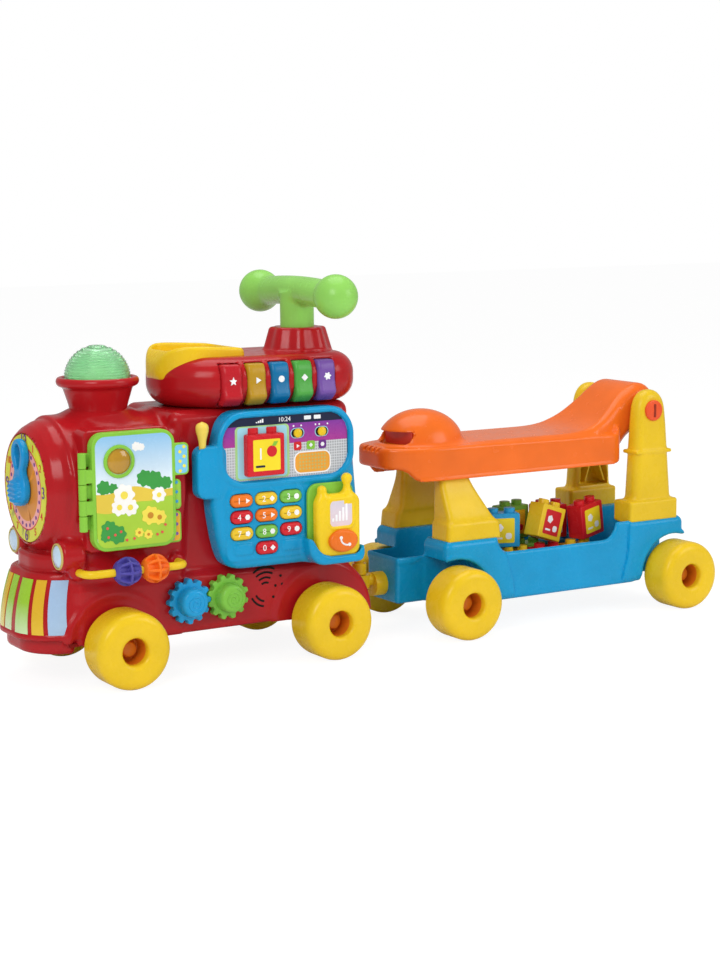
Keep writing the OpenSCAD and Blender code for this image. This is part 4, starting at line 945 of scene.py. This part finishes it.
def gridded(name, ground_shade, line_shade, pitch):
    """Print of fine square lines, upright and level, on a plain ground."""
    material = moulded(name, ground_shade, 0.25, grain=0.02)
    tree = material.node_tree
    plain = tree.nodes["Color Ramp"].outputs["Color"]
    stand = add(tree, "Mapping", Vector=tree.nodes["Texture Coordinate"].outputs["Object"],
                Rotation=(-math.pi / 2, 0, 0))
    squares = add(tree, "TexBrick", Vector=stand.outputs["Vector"], Color1=plain, Color2=plain, Scale=1,
                  Mortar=(*paint(line_shade), 1), Mortar_Size=pitch / 7000,
                  Brick_Width=pitch / 1000, Row_Height=pitch / 1000)
    squares.offset = 0
    feed(tree, tree.nodes["Principled BSDF"], Base_Color=squares.outputs["Color"])
    return material


def screen_band(low, high, left, right, front):
    """Part of the screen between two heights and two sides, cut to the screen's round corners."""
    screen_left, screen_right, screen_low, screen_high, r = SCREEN
    z = np.linspace(low, high, 24)
    past = np.maximum(np.maximum(screen_low + r - z, z - screen_high + r), 0)
    draw = r - np.sqrt(np.maximum(r * r - past * past, 0))
    west = np.stack([np.maximum(screen_left + draw, left), z], 1)
    east = np.stack([np.minimum(screen_right - draw, right), z], 1)
    return plate(np.concatenate([east, west[::-1]]), CARD_BACK, front)


def tag(left, right, low, high, r, front):
    """Round-cornered patch of print on the card."""
    return plate(round_rect(left, right, low, high, r), CARD_BACK, front)


def spot(u, v, radius, steps, front):
    """Round or many-sided patch of print on the card."""
    return plate(circle(u, v, radius, steps), CARD_BACK, front)


ink_black = moulded("ink_black", "14161C", 0.3)
ink_navy = moulded("ink_navy", "1C2340", 0.3)
ink_white = moulded("ink_white", "F4F5F6", 0.3)
ink_cyan = moulded("ink_cyan", "9FD8E6", 0.3)
ink_leaf = moulded("ink_leaf", "A9D58B", 0.3)
ink_plum = printed("ink_plum", "B03A93", "7A3AA0", 255, 285)
ink_amber = moulded("ink_amber", "E9A238", 0.3)
screen_card = {
    gridded("ink_grid", "A9ABAF", "D3D5D8", 3.2): [screen_band(217.7, 281, 127.7, 290.3, 90.2)],
    ink_black: [screen_band(216.5, 290.5, 0, 400, 90.05)]
    + [tag(u, u + 16, 263, 273, 5, 90.5) for u in (216, 248)],
    ink_navy: [screen_band(280, 289.7, 127.5, 290.5, 90.3)],
    ink_plum: [screen_band(257, 280.2, 127.7, 151, 90.25), screen_band(257, 280.2, 206, 290.3, 90.25)],
    ink_leaf: [tag(143, 213, 218.6, 280, 5, 90.32)],
    ink_cyan: [tag(146, 210, 220, 278.6, 4, 90.42)]
    + [tag(u, u + 18, 262, 274, 6, 90.4) for u in (215, 247)],
    print_red: [tag(219, 229, 248, 258, 2.5, 90.5)],
    book_green: [tag(236, 247, 248, 258, 2.5, 90.5)],
    print_purple: [tag(252, 262, 248, 258, 2.5, 90.5)],
    ink_white: [tag(219, 268, 220, 246, 9, 90.45), lettering("10:24", 7.5, 207, 285, 90.4, SIDE)]
    + [tag(170 + 2.6 * k, 172 + 2.6 * k, 283, 284.2 + 1.1 * k, 0.3, 90.5) for k in range(4)]
    + [tag(u, u + 9, 283, 287.5, 0.6, 90.5) for u in (233, 246)]
    + [spot(u, 276.5, 1.1, 10, 90.55) for u in (219, 229, 248, 253, 264)]
    + [spot(u, 253, 2.6, corners, 90.65) for u, corners in ((224, 3), (241.5, 4), (257, 6))],
    ink_amber: [tag(220.5, 266.5, 221.5, 244.7, 8, 90.55)],
    lens_rim: [spot(227 + 4.1 * i, 226 + 3.9 * j, 1.3, 10, 90.65) for i in range(9) for j in range(5)],
}
put("screen_card", screen_card, "loco", crease=20)

# Letter block: a red toy block with two studs that stands in the panel's pocket, with a yellow picture card
# that shows the number one and one ball.
BLOCK_BACK, BLOCK_FACE = 74, 100
INK_UNDER = BLOCK_FACE - 1
STUD = softened([[0, 270], [7.6, 270], [7.6, 278], [0, 278]], [0.1, 0.1, 1.4, 0.1])
block_red = moulded("block_red", "D0202A", 0.22)
card_yellow = moulded("card_yellow", "F6DC2A", 0.3)
put("letter_block_moulding",
    {block_red: [plate(round_rect(154, 202, 223, 271, 2.5), BLOCK_BACK, BLOCK_FACE, 2)]
     + [turned(STUD, (x, -87, 0), (0, 0, 1), 40) for x in (166, 190)],
     card_yellow: [plate(round_rect(161, 196, 229, 265, 1.5), INK_UNDER, BLOCK_FACE + 0.2)],
     ink_white: [lettering("1", 19, 170.5, 248, BLOCK_FACE + 0.3, SIDE)],
     print_red: [plate(circle(185, 251, 6.5, 28), INK_UNDER, BLOCK_FACE + 0.4)],
     ink_navy: [plate(round_rect(164, 176, 233, 235.5, 1), INK_UNDER, BLOCK_FACE + 0.4)],
     book_green: [plate(np.array([[185, 257], [188, 262], [193, 262], [190, 257]]),
                        INK_UNDER, BLOCK_FACE + 0.5)]},
    "letter_block", ("letter_block",))

# Two slide switches with round yellow caps.
CAP = softened([[0, 90.5], [5.4, 90.5], [5.4, 93], [0, 94.2]], [0.1, 0.4, 2, 0.1])
for switch, switch_x in (("power_switch", 224), ("volume_switch", 256)):
    put(switch + "_cap", {yellow: [turned(CAP, (switch_x, 0, 268), (0, -1, 0), 32)]}, switch,
        (switch,))

# Number keys: soft pills that stand through the panel, each with its number and a small white symbol.
key_finish = {"red": moulded("key_red", "D4232E", 0.26), "orange": moulded("key_orange", "F07A22", 0.26),
              "yellow": moulded("key_yellow", "EDC52F", 0.26),
              "green": moulded("key_green", "79BE4B", 0.26)}
KEYPAD = ("orange", "yellow", "green", "red", "orange", "yellow", "yellow", "green", "red", "red")
KEY_FACE = 97
for place, (colour, (key_x, key_z)) in enumerate(zip(KEYPAD, KEY_PLACES)):
    number = (place + 1) % 10
    key = f"key_{number}"
    pill = plate(round_rect(key_x - 14, key_x + 14, key_z - 7.25, key_z + 7.25, 7.2), 82, KEY_FACE, 3)
    corners = 3 + place % 4 + 4 * (place % 3 == 2)
    sign = plate(circle(key_x + 6, key_z, 3.4, corners), KEY_FACE - 1, KEY_FACE + 0.2)
    figure = lettering(str(number), 10, key_x - 4.5, key_z, KEY_FACE, SIDE)
    put(key + "_pill", {key_finish[colour]: [pill], ink_white: [figure, sign]}, key,
        (key,))

# Toy phone: a yellow front half with an ear and a ball aerial on a lime back half, a pale screen in a
# raised frame and a big orange call button with a handset sign. It lifts out of the cradle.
EAR_X, AERIAL_X, PHONE_Y = 247.5, 281, -104
PHONE_FACE, PHONE_SEAM = 111, 97.2


def phone_front(x, y, z):
    """Thick round-edged slab with an ear and an aerial, and a raised frame round the screen."""
    slab = rounded(5, pane(x, z, 237.5, 296, 121, 196, 12), span(y, -PHONE_FACE, -PHONE_SEAM))
    ear = np.sqrt((x - EAR_X) ** 2 + (y - PHONE_Y) ** 2 + (z - np.clip(z, 190, 201)) ** 2) - 5.6
    stalk = np.hypot(x - AERIAL_X, y - PHONE_Y) - np.interp(z, (194, 206), (6, 3.6))
    stalk = np.maximum(stalk, span(z, 188, 212))
    ball = np.sqrt((x - AERIAL_X) ** 2 + (y - PHONE_Y) ** 2 + (z - 212.5) ** 2) - 6.4
    phone = weld(weld(slab, ear, 5), weld(stalk, ball, 4), 6)
    frame_edge = pane(x, z, 253.5, 285, 157, 189, 6)
    phone = weld(phone, np.hypot(frame_edge - 1.4, y + 110.6) - 1.6, 1.5)
    return np.maximum(phone, y + PHONE_SEAM)


phone_yellow = moulded("phone_yellow", "F0CC1E", 0.22)
phone_lime = moulded("phone_lime", "86C440", 0.24)
pale_screen = printed("phone_screen", "E7CFD3", "D9D2DE", 157, 187)
put("phone_handset",
    {phone_yellow: [skin(phone_front, (229, -115, 116), (299, -94, 228), 1.0, 1.6)],
     phone_lime: [plate(round_rect(233, 294, 121, 208, 13), 93.2, 97.4, 1.5)],
     pale_screen: [plate(round_rect(253.9, 284.6, 157.4, 188.6, 5.6), PHONE_FACE - 3, PHONE_FACE + 0.1)],
     ink_white: [plate(round_rect(257 + 4.5 * k, 259.6 + 4.5 * k, 164, 168 + 4 * k, 0.8), PHONE_FACE - 3,
                       PHONE_FACE + 0.3) for k in range(5)]},
    "phone", ("phone",))
BUTTON_AT, BUTTON_FACE = np.array([270.5, 141]), 117
button_orange = moulded("button_orange", "EC7420", 0.24)
handset = softened([[-5.5, 4.5], [-4.5, -1.5], [1.5, -5], [6, -4.5]], 4) + BUTTON_AT
handset = np.column_stack([handset[:, 0], np.full(len(handset), 0.1 - BUTTON_FACE), handset[:, 1]])
ends = [plate(circle(*at, 2), BUTTON_FACE - 1, BUTTON_FACE + 0.5)
        for at in ((265.3, 145.2), (276.5, 136.6))]
put("phone_button_cap",
    {button_orange: [plate(circle(0, 0, 1, 64) * [19, 13.5] + BUTTON_AT, 106.5, BUTTON_FACE, 4)],
     ink_white: [tube(handset, 1.1, (0, 1, 0), 10)] + ends}, "phone_button", ("phone_button",))

# Pointer: a yellow stick with a drop-shaped end, held upright in the panel's clip.
POINTER = softened([[0, 203.8], [3.9, 203.8], [3.9, 262], [5, 270], [7.8, 279], [7, 286], [0, 288.8]],
                   [0.1, 1, 5, 6, 5, 4, 0.1])
pointer_yellow = moulded("pointer_yellow", "EFD25A", 0.22)
put("pointer", {pointer_yellow: [turned(POINTER, (*POINTER_AT, 0), (0, 0, 1), 32)]}, "pointer_stick",
    ("pointer_stick",))

# Roof pod: a fat round-ended red box on the cab with a fluted boss for the handle, and five slots
# for the piano keys.
POD_FRONT, POD_BACK, POD_HALF = 84, 325, 80
BOSS_X, BOSS_FLUTES = 276, 8
PIANO_X = [134 + 30.5 * k for k in range(5)]


def pod_plan(x, y):
    """Plan of the pod: half a circle in front, and a box with round corners behind it."""
    middle = POD_FRONT + POD_HALF
    box = pane(x, y, middle - 45, POD_BACK, -POD_HALF, POD_HALF, 45)
    return np.minimum(np.hypot(x - middle, y) - POD_HALF, box)


def pod_section(x, y, z):
    """Plan carried up and rounded at its foot and top."""
    return rounded(25, pod_plan(x, y), span(z, 299, 357))


def roof_pod(x, y, z):
    """Rounded plan with the boss welded on and the key slots cut out."""
    flutes = 1.5 * np.cos(BOSS_FLUTES * np.arctan2(y, x - BOSS_X))
    round_boss = np.hypot(x - BOSS_X, y) - np.interp(z, (353, 384), (41, 32)) + flutes
    pod = weld(pod_section(x, y, z), rounded(3, round_boss, span(z, 340, 384)), 4)
    for key_x in PIANO_X:
        slot = meet(span(x, key_x + 1, key_x + 25), span(y, -120, -58), span(z, 301.4, 350.6))
        pod = np.maximum(pod, -slot)
    return pod


moulding("roof_pod_moulding", red, roof_pod, (78, -86, 292), (331, 86, 390), (1.7, 2.6), "loco",
         ("roof_pod",))

# Piano keys: five coloured keys that follow the pod's side, each with a lower ledge and a plain symbol.


def piano_key(x, y, z):
    """Pod section grown outwards, with a hollow for the finger and a ledge below it, cut to the key's
    height."""
    swell = 5.2 + 3.2 * np.exp(-((z - 312) / 6) ** 2) - 2 * np.exp(-((z - 330) / 11) ** 2)
    return np.maximum(rounded(2, pod_section(x, y, z) - swell, span(z, 302, 350)), y + 62)


star = circle(0, 0, np.where(np.arange(10) % 2, 2.2, 5.2), 10) @ np.array([[0, 1], [-1, 0]])
cog = circle(0, 0, np.where(np.arange(24) % 4 < 2, 4.6, 3.2), 24)
SIGNS = (star, circle(0, 0, 4.2, 3), circle(0, 0, 3.8, 24), circle(0, 0, 4.2, 4), cog)
PIANO = (("B81E28", "key_red"), ("B98E1E", "key_yellow"), ("0E6EA0", "key_blue"), ("4FA544", "key_green"),
         ("7450A0", "key_purple"))
for k, (key_x, (shade, slot_name), sign) in enumerate(zip(PIANO_X, PIANO, SIGNS)):
    def one_key(x, y, z):
        return rounded(4, piano_key(x, y, z), span(x, key_x + 1.5, key_x + 24.5))

    key, middle = f"piano_{k + 1}", key_x + 13
    face = 84 - max(POD_FRONT + POD_HALF - middle, 0) ** 2 / POD_HALF / 2
    pressed = skin(one_key, (key_x - 3, -94, 296), (key_x + 29, -58, 356), 1.0, 1.7)
    put(key + "_key", {moulded(key, shade, 0.22): [pressed],
                       ink_white: [plate(sign + [middle, 331], 76, face)]},
        key, (key,))

# Roof chute: a yellow spout let into the pod's front top, with a trough for the blocks and a lip
# that hangs over the nose.
CHUTE_FRONT, CHUTE_BACK, CHUTE_HALF = 81, 184, 46
chute_side = eased_stencil([[83, 331], [81, 341], [83, 351], [91, 364], [103, 369.5], [124, 369.5],
                            [178, 366], [184, 362], [184, 352], [129, 350], [111, 345], [98, 331]],
                           [5, 6, 8, 10, 10, 20, 6, 4, 4, 10, 12, 6], 6)


def roof_chute(x, y, z):
    """Side outline carried across, with a round front in plan and a trough cut from above."""
    plan = np.minimum(np.hypot(x - CHUTE_FRONT - CHUTE_HALF, y) - CHUTE_HALF,
                      pane(x, y, CHUTE_FRONT + CHUTE_HALF - 10, CHUTE_BACK, -CHUTE_HALF, CHUTE_HALF, 10))
    spout = rounded(3, chute_side(x, z), plan)
    trough = pane(x, y, CHUTE_FRONT + 14, CHUTE_BACK - 10, 10 - CHUTE_HALF, CHUTE_HALF - 10, 18)
    return carve(spout, meet(trough, span(z, 359.5, 400)), 3)


moulding("chute_moulding", yellow, roof_chute, (75, -52, 326), (190, 52, 376), (1.5, 2.4), "loco",
         ("roof_chute",))

# Handle: a lime push handle, its stem pressed into the boss, with a bowed cross bar and a ball at each end.
BAR_Z, BALL_Y = 422, 92.5


def push_handle(x, y, z):
    """Stem, bowed bar and two balls, welded with fillets."""
    stem = np.hypot((x - BOSS_X) / 1.12, y) - 18.5
    stem = np.maximum(stem, np.maximum(z - 425, 356 - z))
    bow = 5 * (1 - (y / BALL_Y) ** 2)
    grip = np.hypot(x - BOSS_X, z - BAR_Z - bow) - 17
    grip = np.maximum(grip, np.abs(y) - 92)
    balls = np.sqrt((x - BOSS_X) ** 2 + (np.abs(y) - BALL_Y) ** 2 + (z - BAR_Z - 1) ** 2) - 25.8
    return weld(weld(stem, grip, 6), balls, 6)


handle_lime = moulded("handle_lime", "8FCF5E", 0.2)
moulding("push_handle", handle_lime, push_handle, (246, -122, 352), (306, 122, 450), (1.7, 2.6), "loco",
         ("handle",))

# Hitch: a yellow post on the locomotive's tail, and the wagon's draw bar whose eye turns on it.
# Both stay the CAD solids.
dress("hitch_post", yellow, 0.8)
dress("hitch_bar", yellow, 0.8)

# Wagon tub: a hollow blue moulding with a narrow nose box, low sides in the middle and four arched fender
# blocks that carry the seat's posts.
low_side = eased_stencil([[62, 140], [62, 112], [74, 95.5], [236, 95.5], [250, 112], [250, 140]],
                         [1, 14, 10, 10, 14, 1], 8)
set_back = eased_stencil([[68, 150], [74, 90], [84, 64], [88, 10], [254, 10], [258, 52], [266, 72],
                          [270, 150]], [1, 14, 14, 1, 1, 14, 14, 1], 8)


def wagon_tub(x, y, z):
    """Nose box and fender blocks with a set back middle, hollowed from above, with wheel arches cut from
    the sides."""
    side = np.abs(y)
    rim = brick(x, y, z, (-57, -36.5, 86), (40, 36.5, 95), 3)
    nose = weld(brick(x, y, z, (-57, -35, 37), (40, 35, 95), 5), rim, 2)
    middle = brick(x, y, z, (40, -80, 37), (280, 80, 95), 5)
    blocks = np.maximum(pane(x, z, -16, 358, 37, 118, 10), -low_side(x, z))
    tub = weld(weld(nose, middle, 4), rounded(9, blocks, span(side, 0, 85)), 5)
    tub = carve(tub, meet(set_back(x, z), 81.5 - side), 2)
    inner = brick(x, y, z, (-53.5, -32.5, 41), (354, 32.5, 200), 4)
    inner = weld(inner, brick(x, y, z, (57, -76.5, 41), (283, 76.5, 200), 6), 3)
    for axle_x in (0, WAGON_BASE):
        from_axle = np.hypot(x - axle_x, z - WHEEL_RADIUS)
        tub = carve(tub, meet(from_axle - 51.5, 36 - side), 3)
        arch_lip = np.hypot(from_axle - 54, side - 83) - 2.6
        tub = weld(tub, meet(arch_lip, 46 - z, span(x, -16, 358)), 2.5)
        axle_box = brick(x, y, z, (axle_x - 9, -60, 0), (axle_x + 9, 60, 54), 3)
        inner = np.maximum(inner, -axle_box)
    return carve(tub, inner, 2)


tub_blue = moulded("tub_blue", "0D97CC", 0.22)
moulding("tub_moulding", tub_blue, wagon_tub, (-64, -90, 30), (364, 90, 124), (2.0, 3.2), "wagon",
         ("wagon_tub",), WAGON)

# Seat posts: yellow hollow mouldings with a foot ledge, two leaning ones under the seat's nose and two tall
# ones with a ribbed inside that hold the hinge pins.
PIVOT = (312, 258)
front_side = eased_stencil([[-11, 114], [69, 114], [67, 138], [62, 141], [36, 198], [-3, 198], [-5, 141],
                            [-9, 138]], [1, 1, 4, 8, 4, 4, 8, 4])
front_end = eased_stencil([[40, 114], [82, 114], [80.5, 138], [76, 141], [55, 182], [54, 198], [34, 198],
                           [36, 141], [38, 138]], [1, 1, 4, 8, 14, 3, 3, 8, 4])
rear_side = eased_stencil([[270, 114], [348, 114], [347, 141], [343, 144], [337.5, 246], [334.5, 271],
                           [322, 284.5], [303, 284.5], [290.5, 271], [287.5, 246], [281, 144], [273, 141]],
                          [1, 1, 5, 5, 12, 12, 9, 9, 12, 12, 5, 5], 9)
rear_inside = stencil(np.array([[289, 146], [336, 146], [329, 236], [298, 236]]))


def seat_posts(x, y, z):
    """Leaning front posts cut from two outlines, and tall rear posts with a ring ridge and a ribbed recess
    inside."""
    side = np.abs(y)
    front = rounded(6, front_side(x, z), front_end(side, z))
    outer = np.interp(z, (144, 258, 290), (78.5, 74, 73))
    rear = rounded(11, rear_side(x, z), span(side, 49.5, outer))
    ridge = rounded(2, rear_side(x, z) - 1.6, span(side, 47.8, outer + 1.6), span(z, 202, 207))
    foot = rounded(4, pane(x, z, 270, 348, 114, 142, 3), span(side, 46, 83))
    rear = weld(weld(rear, ridge, 1.5), foot, 3)
    recess = meet(rear_inside(x, z), span(side, 40, 71))
    lean = np.abs(np.abs(x - 313) - (196 - z) * 0.36) - 1.4
    ribs = np.minimum(np.maximum(lean, 150 - z), np.abs(z - 186) - 1.4)
    rear = carve(rear, np.maximum(recess, -ribs), 1.5)
    pin_hole = np.hypot(x - PIVOT[0], z - PIVOT[1]) - 6.3
    return np.minimum(front, np.maximum(rear, -pin_hole))


post_yellow = moulded("post_yellow", "E6C022", 0.24)
moulding("posts_moulding", post_yellow, seat_posts, (-18, -90, 112), (354, 90, 290), (1.9, 3.0), "wagon",
         ("seat_posts",), WAGON)

# Hinge pins: orange plugs with a slotted head, pushed through the rear posts into the seat.
PIN_HEAD, PIN_FACE = 13.4, 78.4
PIN = softened([[0, 36], [5.9, 36], [5.9, 73.2], [PIN_HEAD, 73.2], [PIN_HEAD, 77.4], [0, PIN_FACE]],
               [0.1, 0.5, 0.5, 0.5, 1.8, 0.1])
pin_orange = moulded("pin_orange", "E8562A", 0.26)
# Painted shade: the head's slot is a flat dark plate, not a cut, coloured like the shade inside a slot.
head_slot_painted_shade = moulded("pin_slot_painted_shade", "8E2A14", 0.5)
for side, name in ((-1, "pin_near"), (1, "pin_far")):
    head_slot = plate(round_rect(PIVOT[0] - 1.6, PIVOT[0] + 1.6, PIVOT[1] - 8.5, PIVOT[1] + 8.5, 1.2),
                      PIN_FACE - 2, PIN_FACE + 0.1, view=SIDE * [1, -side, 1])
    plug = turned(PIN, (PIVOT[0], 0, PIVOT[1]), (0, side, 0), 40)
    put(name, {pin_orange: [plug], head_slot_painted_shade: [head_slot]}, "wagon",
        ("seat_pins",) if side < 0 else (), WAGON)

# Seat: one hollow orange moulding with a domed nose that has a grip window, a flat saddle with a straight
# skirt and a hump at the back that turns on the pins.
saddle_side = eased_stencil([[30, 200], [30, 230], [64, 234], [200, 234], [226, 237.5], [249, 247.5],
                             [272, 265.5], [293, 283.5], [315, 293], [335, 286], [346, 262], [342, 244],
                             [328, 234], [300, 226], [276, 200]],
                            [2, 2, 14, 20, 20, 20, 20, 16, 16, 16, 16, 12, 10, 12, 8])
skirt_side = eased_stencil([[-73, 206], [-74, 226], [-69, 231.5], [40, 231.5], [200, 229], [266, 229],
                            [269, 238], [277, 238], [278, 192], [270, 190], [-36, 190], [-50, 205]],
                           [5, 4, 4, 6, 6, 4, 3, 3, 4, 3, 8, 8])
near_half = [[-74, -22], [-68, -36], [-40, -54], [-10, -60], [264, -60], [279, -50]]
seat_plan = eased_stencil(near_half + [[x, -y] for x, y in near_half[::-1]],
                          [10, 10, 20, 20, 10, 8, 8, 10, 20, 20, 10, 10])
DOME_MIDDLE, DOME_REACH = (0, 0, 228), (58, 47, 46)
SEAT_WALL = 5.5


def egg(x, y, z, middle, reach):
    """Distance to an egg with three half lengths: how far the point is past the surface along its ray, over
    the slope."""
    shares = [(p - m) / r for p, m, r in zip((x, y, z), middle, reach)]
    along = np.sqrt(sum(s * s for s in shares))
    slope = np.sqrt(sum((s / r) ** 2 for s, r in zip(shares, reach)))
    return along * (along - 1) / np.maximum(slope, 1e-6)


def seat_outside(x, y, z):
    """Domed nose and saddle over a wider skirt with a shelf in front, joined by fillets."""
    width = np.interp(x, (30, 60, 236, 268, 280), (50, 57, 57, 50, 47.3))
    edge = np.interp(x, (215, 290), (9, 16))
    saddle = rounded(edge, saddle_side(x, z), np.abs(y) - width)
    skirt = rounded(4, skirt_side(x, z), seat_plan(x, y))
    bead = np.maximum(np.hypot(seat_plan(x, y) + 0.4, z - 192) - 1.8, span(x, -34, 262))
    skirt = weld(skirt, bead, 1.5)
    dome = np.maximum(egg(x, y, z, DOME_MIDDLE, DOME_REACH), 215 - z)
    return weld(weld(saddle, skirt, 5), dome, 7)


def seat_moulding(x, y, z):
    """Outside less a hollow that is open below, with the grip window and the comb of notches on the
    nose."""
    outside = seat_outside(x, y, z)
    hollow = np.maximum(seat_outside(x, y, np.maximum(z, 210)) + SEAT_WALL, x - 262)
    seat = np.maximum(outside, -hollow)
    hinge_hollow = meet(np.hypot(x - PIVOT[0], z - PIVOT[1]) - 24, np.abs(y) - 30)
    below_hump = meet(span(x, 255, 326), np.abs(y) - 38, span(z, 100, 245))
    seat = np.maximum(seat, -np.minimum(hinge_hollow, below_hump))
    seat = carve(seat, meet(pane(y, z, -34, 34, 234.5, 249, 4), span(x, -80, -22)), 2)
    for notch in range(4):
        comb = meet(span(y, -17.5 + 10 * notch, -12.5 + 10 * notch), span(x, -90, -66), span(z, 226, 240))
        seat = carve(seat, comb, 1.5)
    return seat


seat_orange = moulded("seat_orange", "EE6E20", 0.18)
# Painted shade: a red-orange plate set behind the nose's grip window stands for the shaded inside of the
# seat.
grip_window_painted_shade = moulded("grip_window_painted_shade", "E0442A", 0.3)
seat_shell = skin(seat_moulding, (-86, -66, 182), (356, 66, 300), 2.0, 3.2)
grip_painted_shade_plate = plate(round_rect(-31, 31, 231, 252, 3), 26, 31, view=FRONT)
put("seat_moulding", {seat_orange: [seat_shell], grip_window_painted_shade: [grip_painted_shade_plate]}, "seat", ("seat",),
    WAGON, tidy=False)

# Cargo: toy blocks with two studs each, heaped in the tub, in four colours with a picture card each.
CARGO_W, CARGO_T, CARGO_H, CARGO_STUD = 44, 24, 44, 6
CARGO_FLOOR, CARGO_X = 40.1, 180
CARGO_STEP_X, CARGO_STEP_Y = 50, 44
block_blue = moulded("block_blue", "2C9FD6", 0.24)
block_yellow = moulded("block_yellow", "EFC92B", 0.24)
block_green = moulded("block_green", "7DBF45", 0.24)
CARGO_TOP = CARGO_H + CARGO_STUD
CARGO_STUD_PROFILE = softened([[0, CARGO_H - 1], [7, CARGO_H - 1], [7, CARGO_TOP], [0, CARGO_TOP]],
                              [0.1, 0.1, 1, 0.1])


def turn_about(axis, degrees):
    """Matrix that turns row vectors about the y or z axis by the right-hand rule."""
    c, s = math.cos(math.radians(degrees)), math.sin(math.radians(degrees))
    if axis == "y":
        return np.array([[c, 0, -s], [0, 1, 0], [s, 0, c]])
    return np.array([[c, s, 0], [-s, c, 0], [0, 0, 1]])


def toy_block(shell, card, mark, place, yaw=0, lean=0):
    """Surfaces of one block by finish: box with eased edges, two studs, and a card with a mark on one broad
    side."""
    turn = turn_about("y", lean) @ turn_about("z", yaw)
    face = CARGO_T / 2
    marks = (circle(-5, 26, 5.5, 5), round_rect(3, 11, 11, 19, 3), round_rect(-11, -1, 11, 13.5, 1))
    box = plate(round_rect(-CARGO_W / 2, CARGO_W / 2, 0.3, CARGO_H, 2), -face, face, 1.5)
    made = {shell: [box] + [turned(CARGO_STUD_PROFILE, (u, 0, 0), (0, 0, 1), 28) for u in (-11, 11)],
            card: [plate(round_rect(-15, 15, 6, 38, 2), face - 1, face + 0.15)],
            mark: [plate(outline, face - 1, face + 0.3) for outline in marks]}
    return {finish: [(points @ turn + place, faces) for points, faces in surfaces]
            for finish, surfaces in made.items()}


heap_z = CARGO_FLOOR + CARGO_TOP + 0.1
heap = [(block_blue, card_yellow, ink_white, (-66, -14), -20, 0),
        (block_yellow, print_red, ink_white, (-12, -28), 12, 18),
        (block_red, ink_white, block_blue, (26, 10), -8, 0),
        (block_red, card_yellow, ink_white, (66, -22), 14, -8),
        (block_green, block_yellow, print_red, (-20, 30), 10, 0)]
under = [(block_yellow, block_green), (block_blue, block_red), (block_red, block_yellow),
         (block_green, block_blue), (block_yellow, print_red), (block_blue, block_yellow)]
blocks = []
for k, (shell, card) in enumerate(under):
    place = (CARGO_X + CARGO_STEP_X * (k // 2 - 1), CARGO_STEP_Y * (k % 2 - 0.5), CARGO_FLOOR)
    blocks.append(toy_block(shell, card, ink_white, place))
for shell, card, mark, (right, far), yaw, lean in heap:
    lifted = heap_z + CARGO_W / 2 * math.sin(math.radians(abs(lean)))
    blocks.append(toy_block(shell, card, mark, (CARGO_X + right, far, lifted), yaw, lean))
for number, made in enumerate(blocks):
    put(f"toy_block_{number + 1}", made, "wagon", ("cargo_blocks",) if number == 0 else (), WAGON)
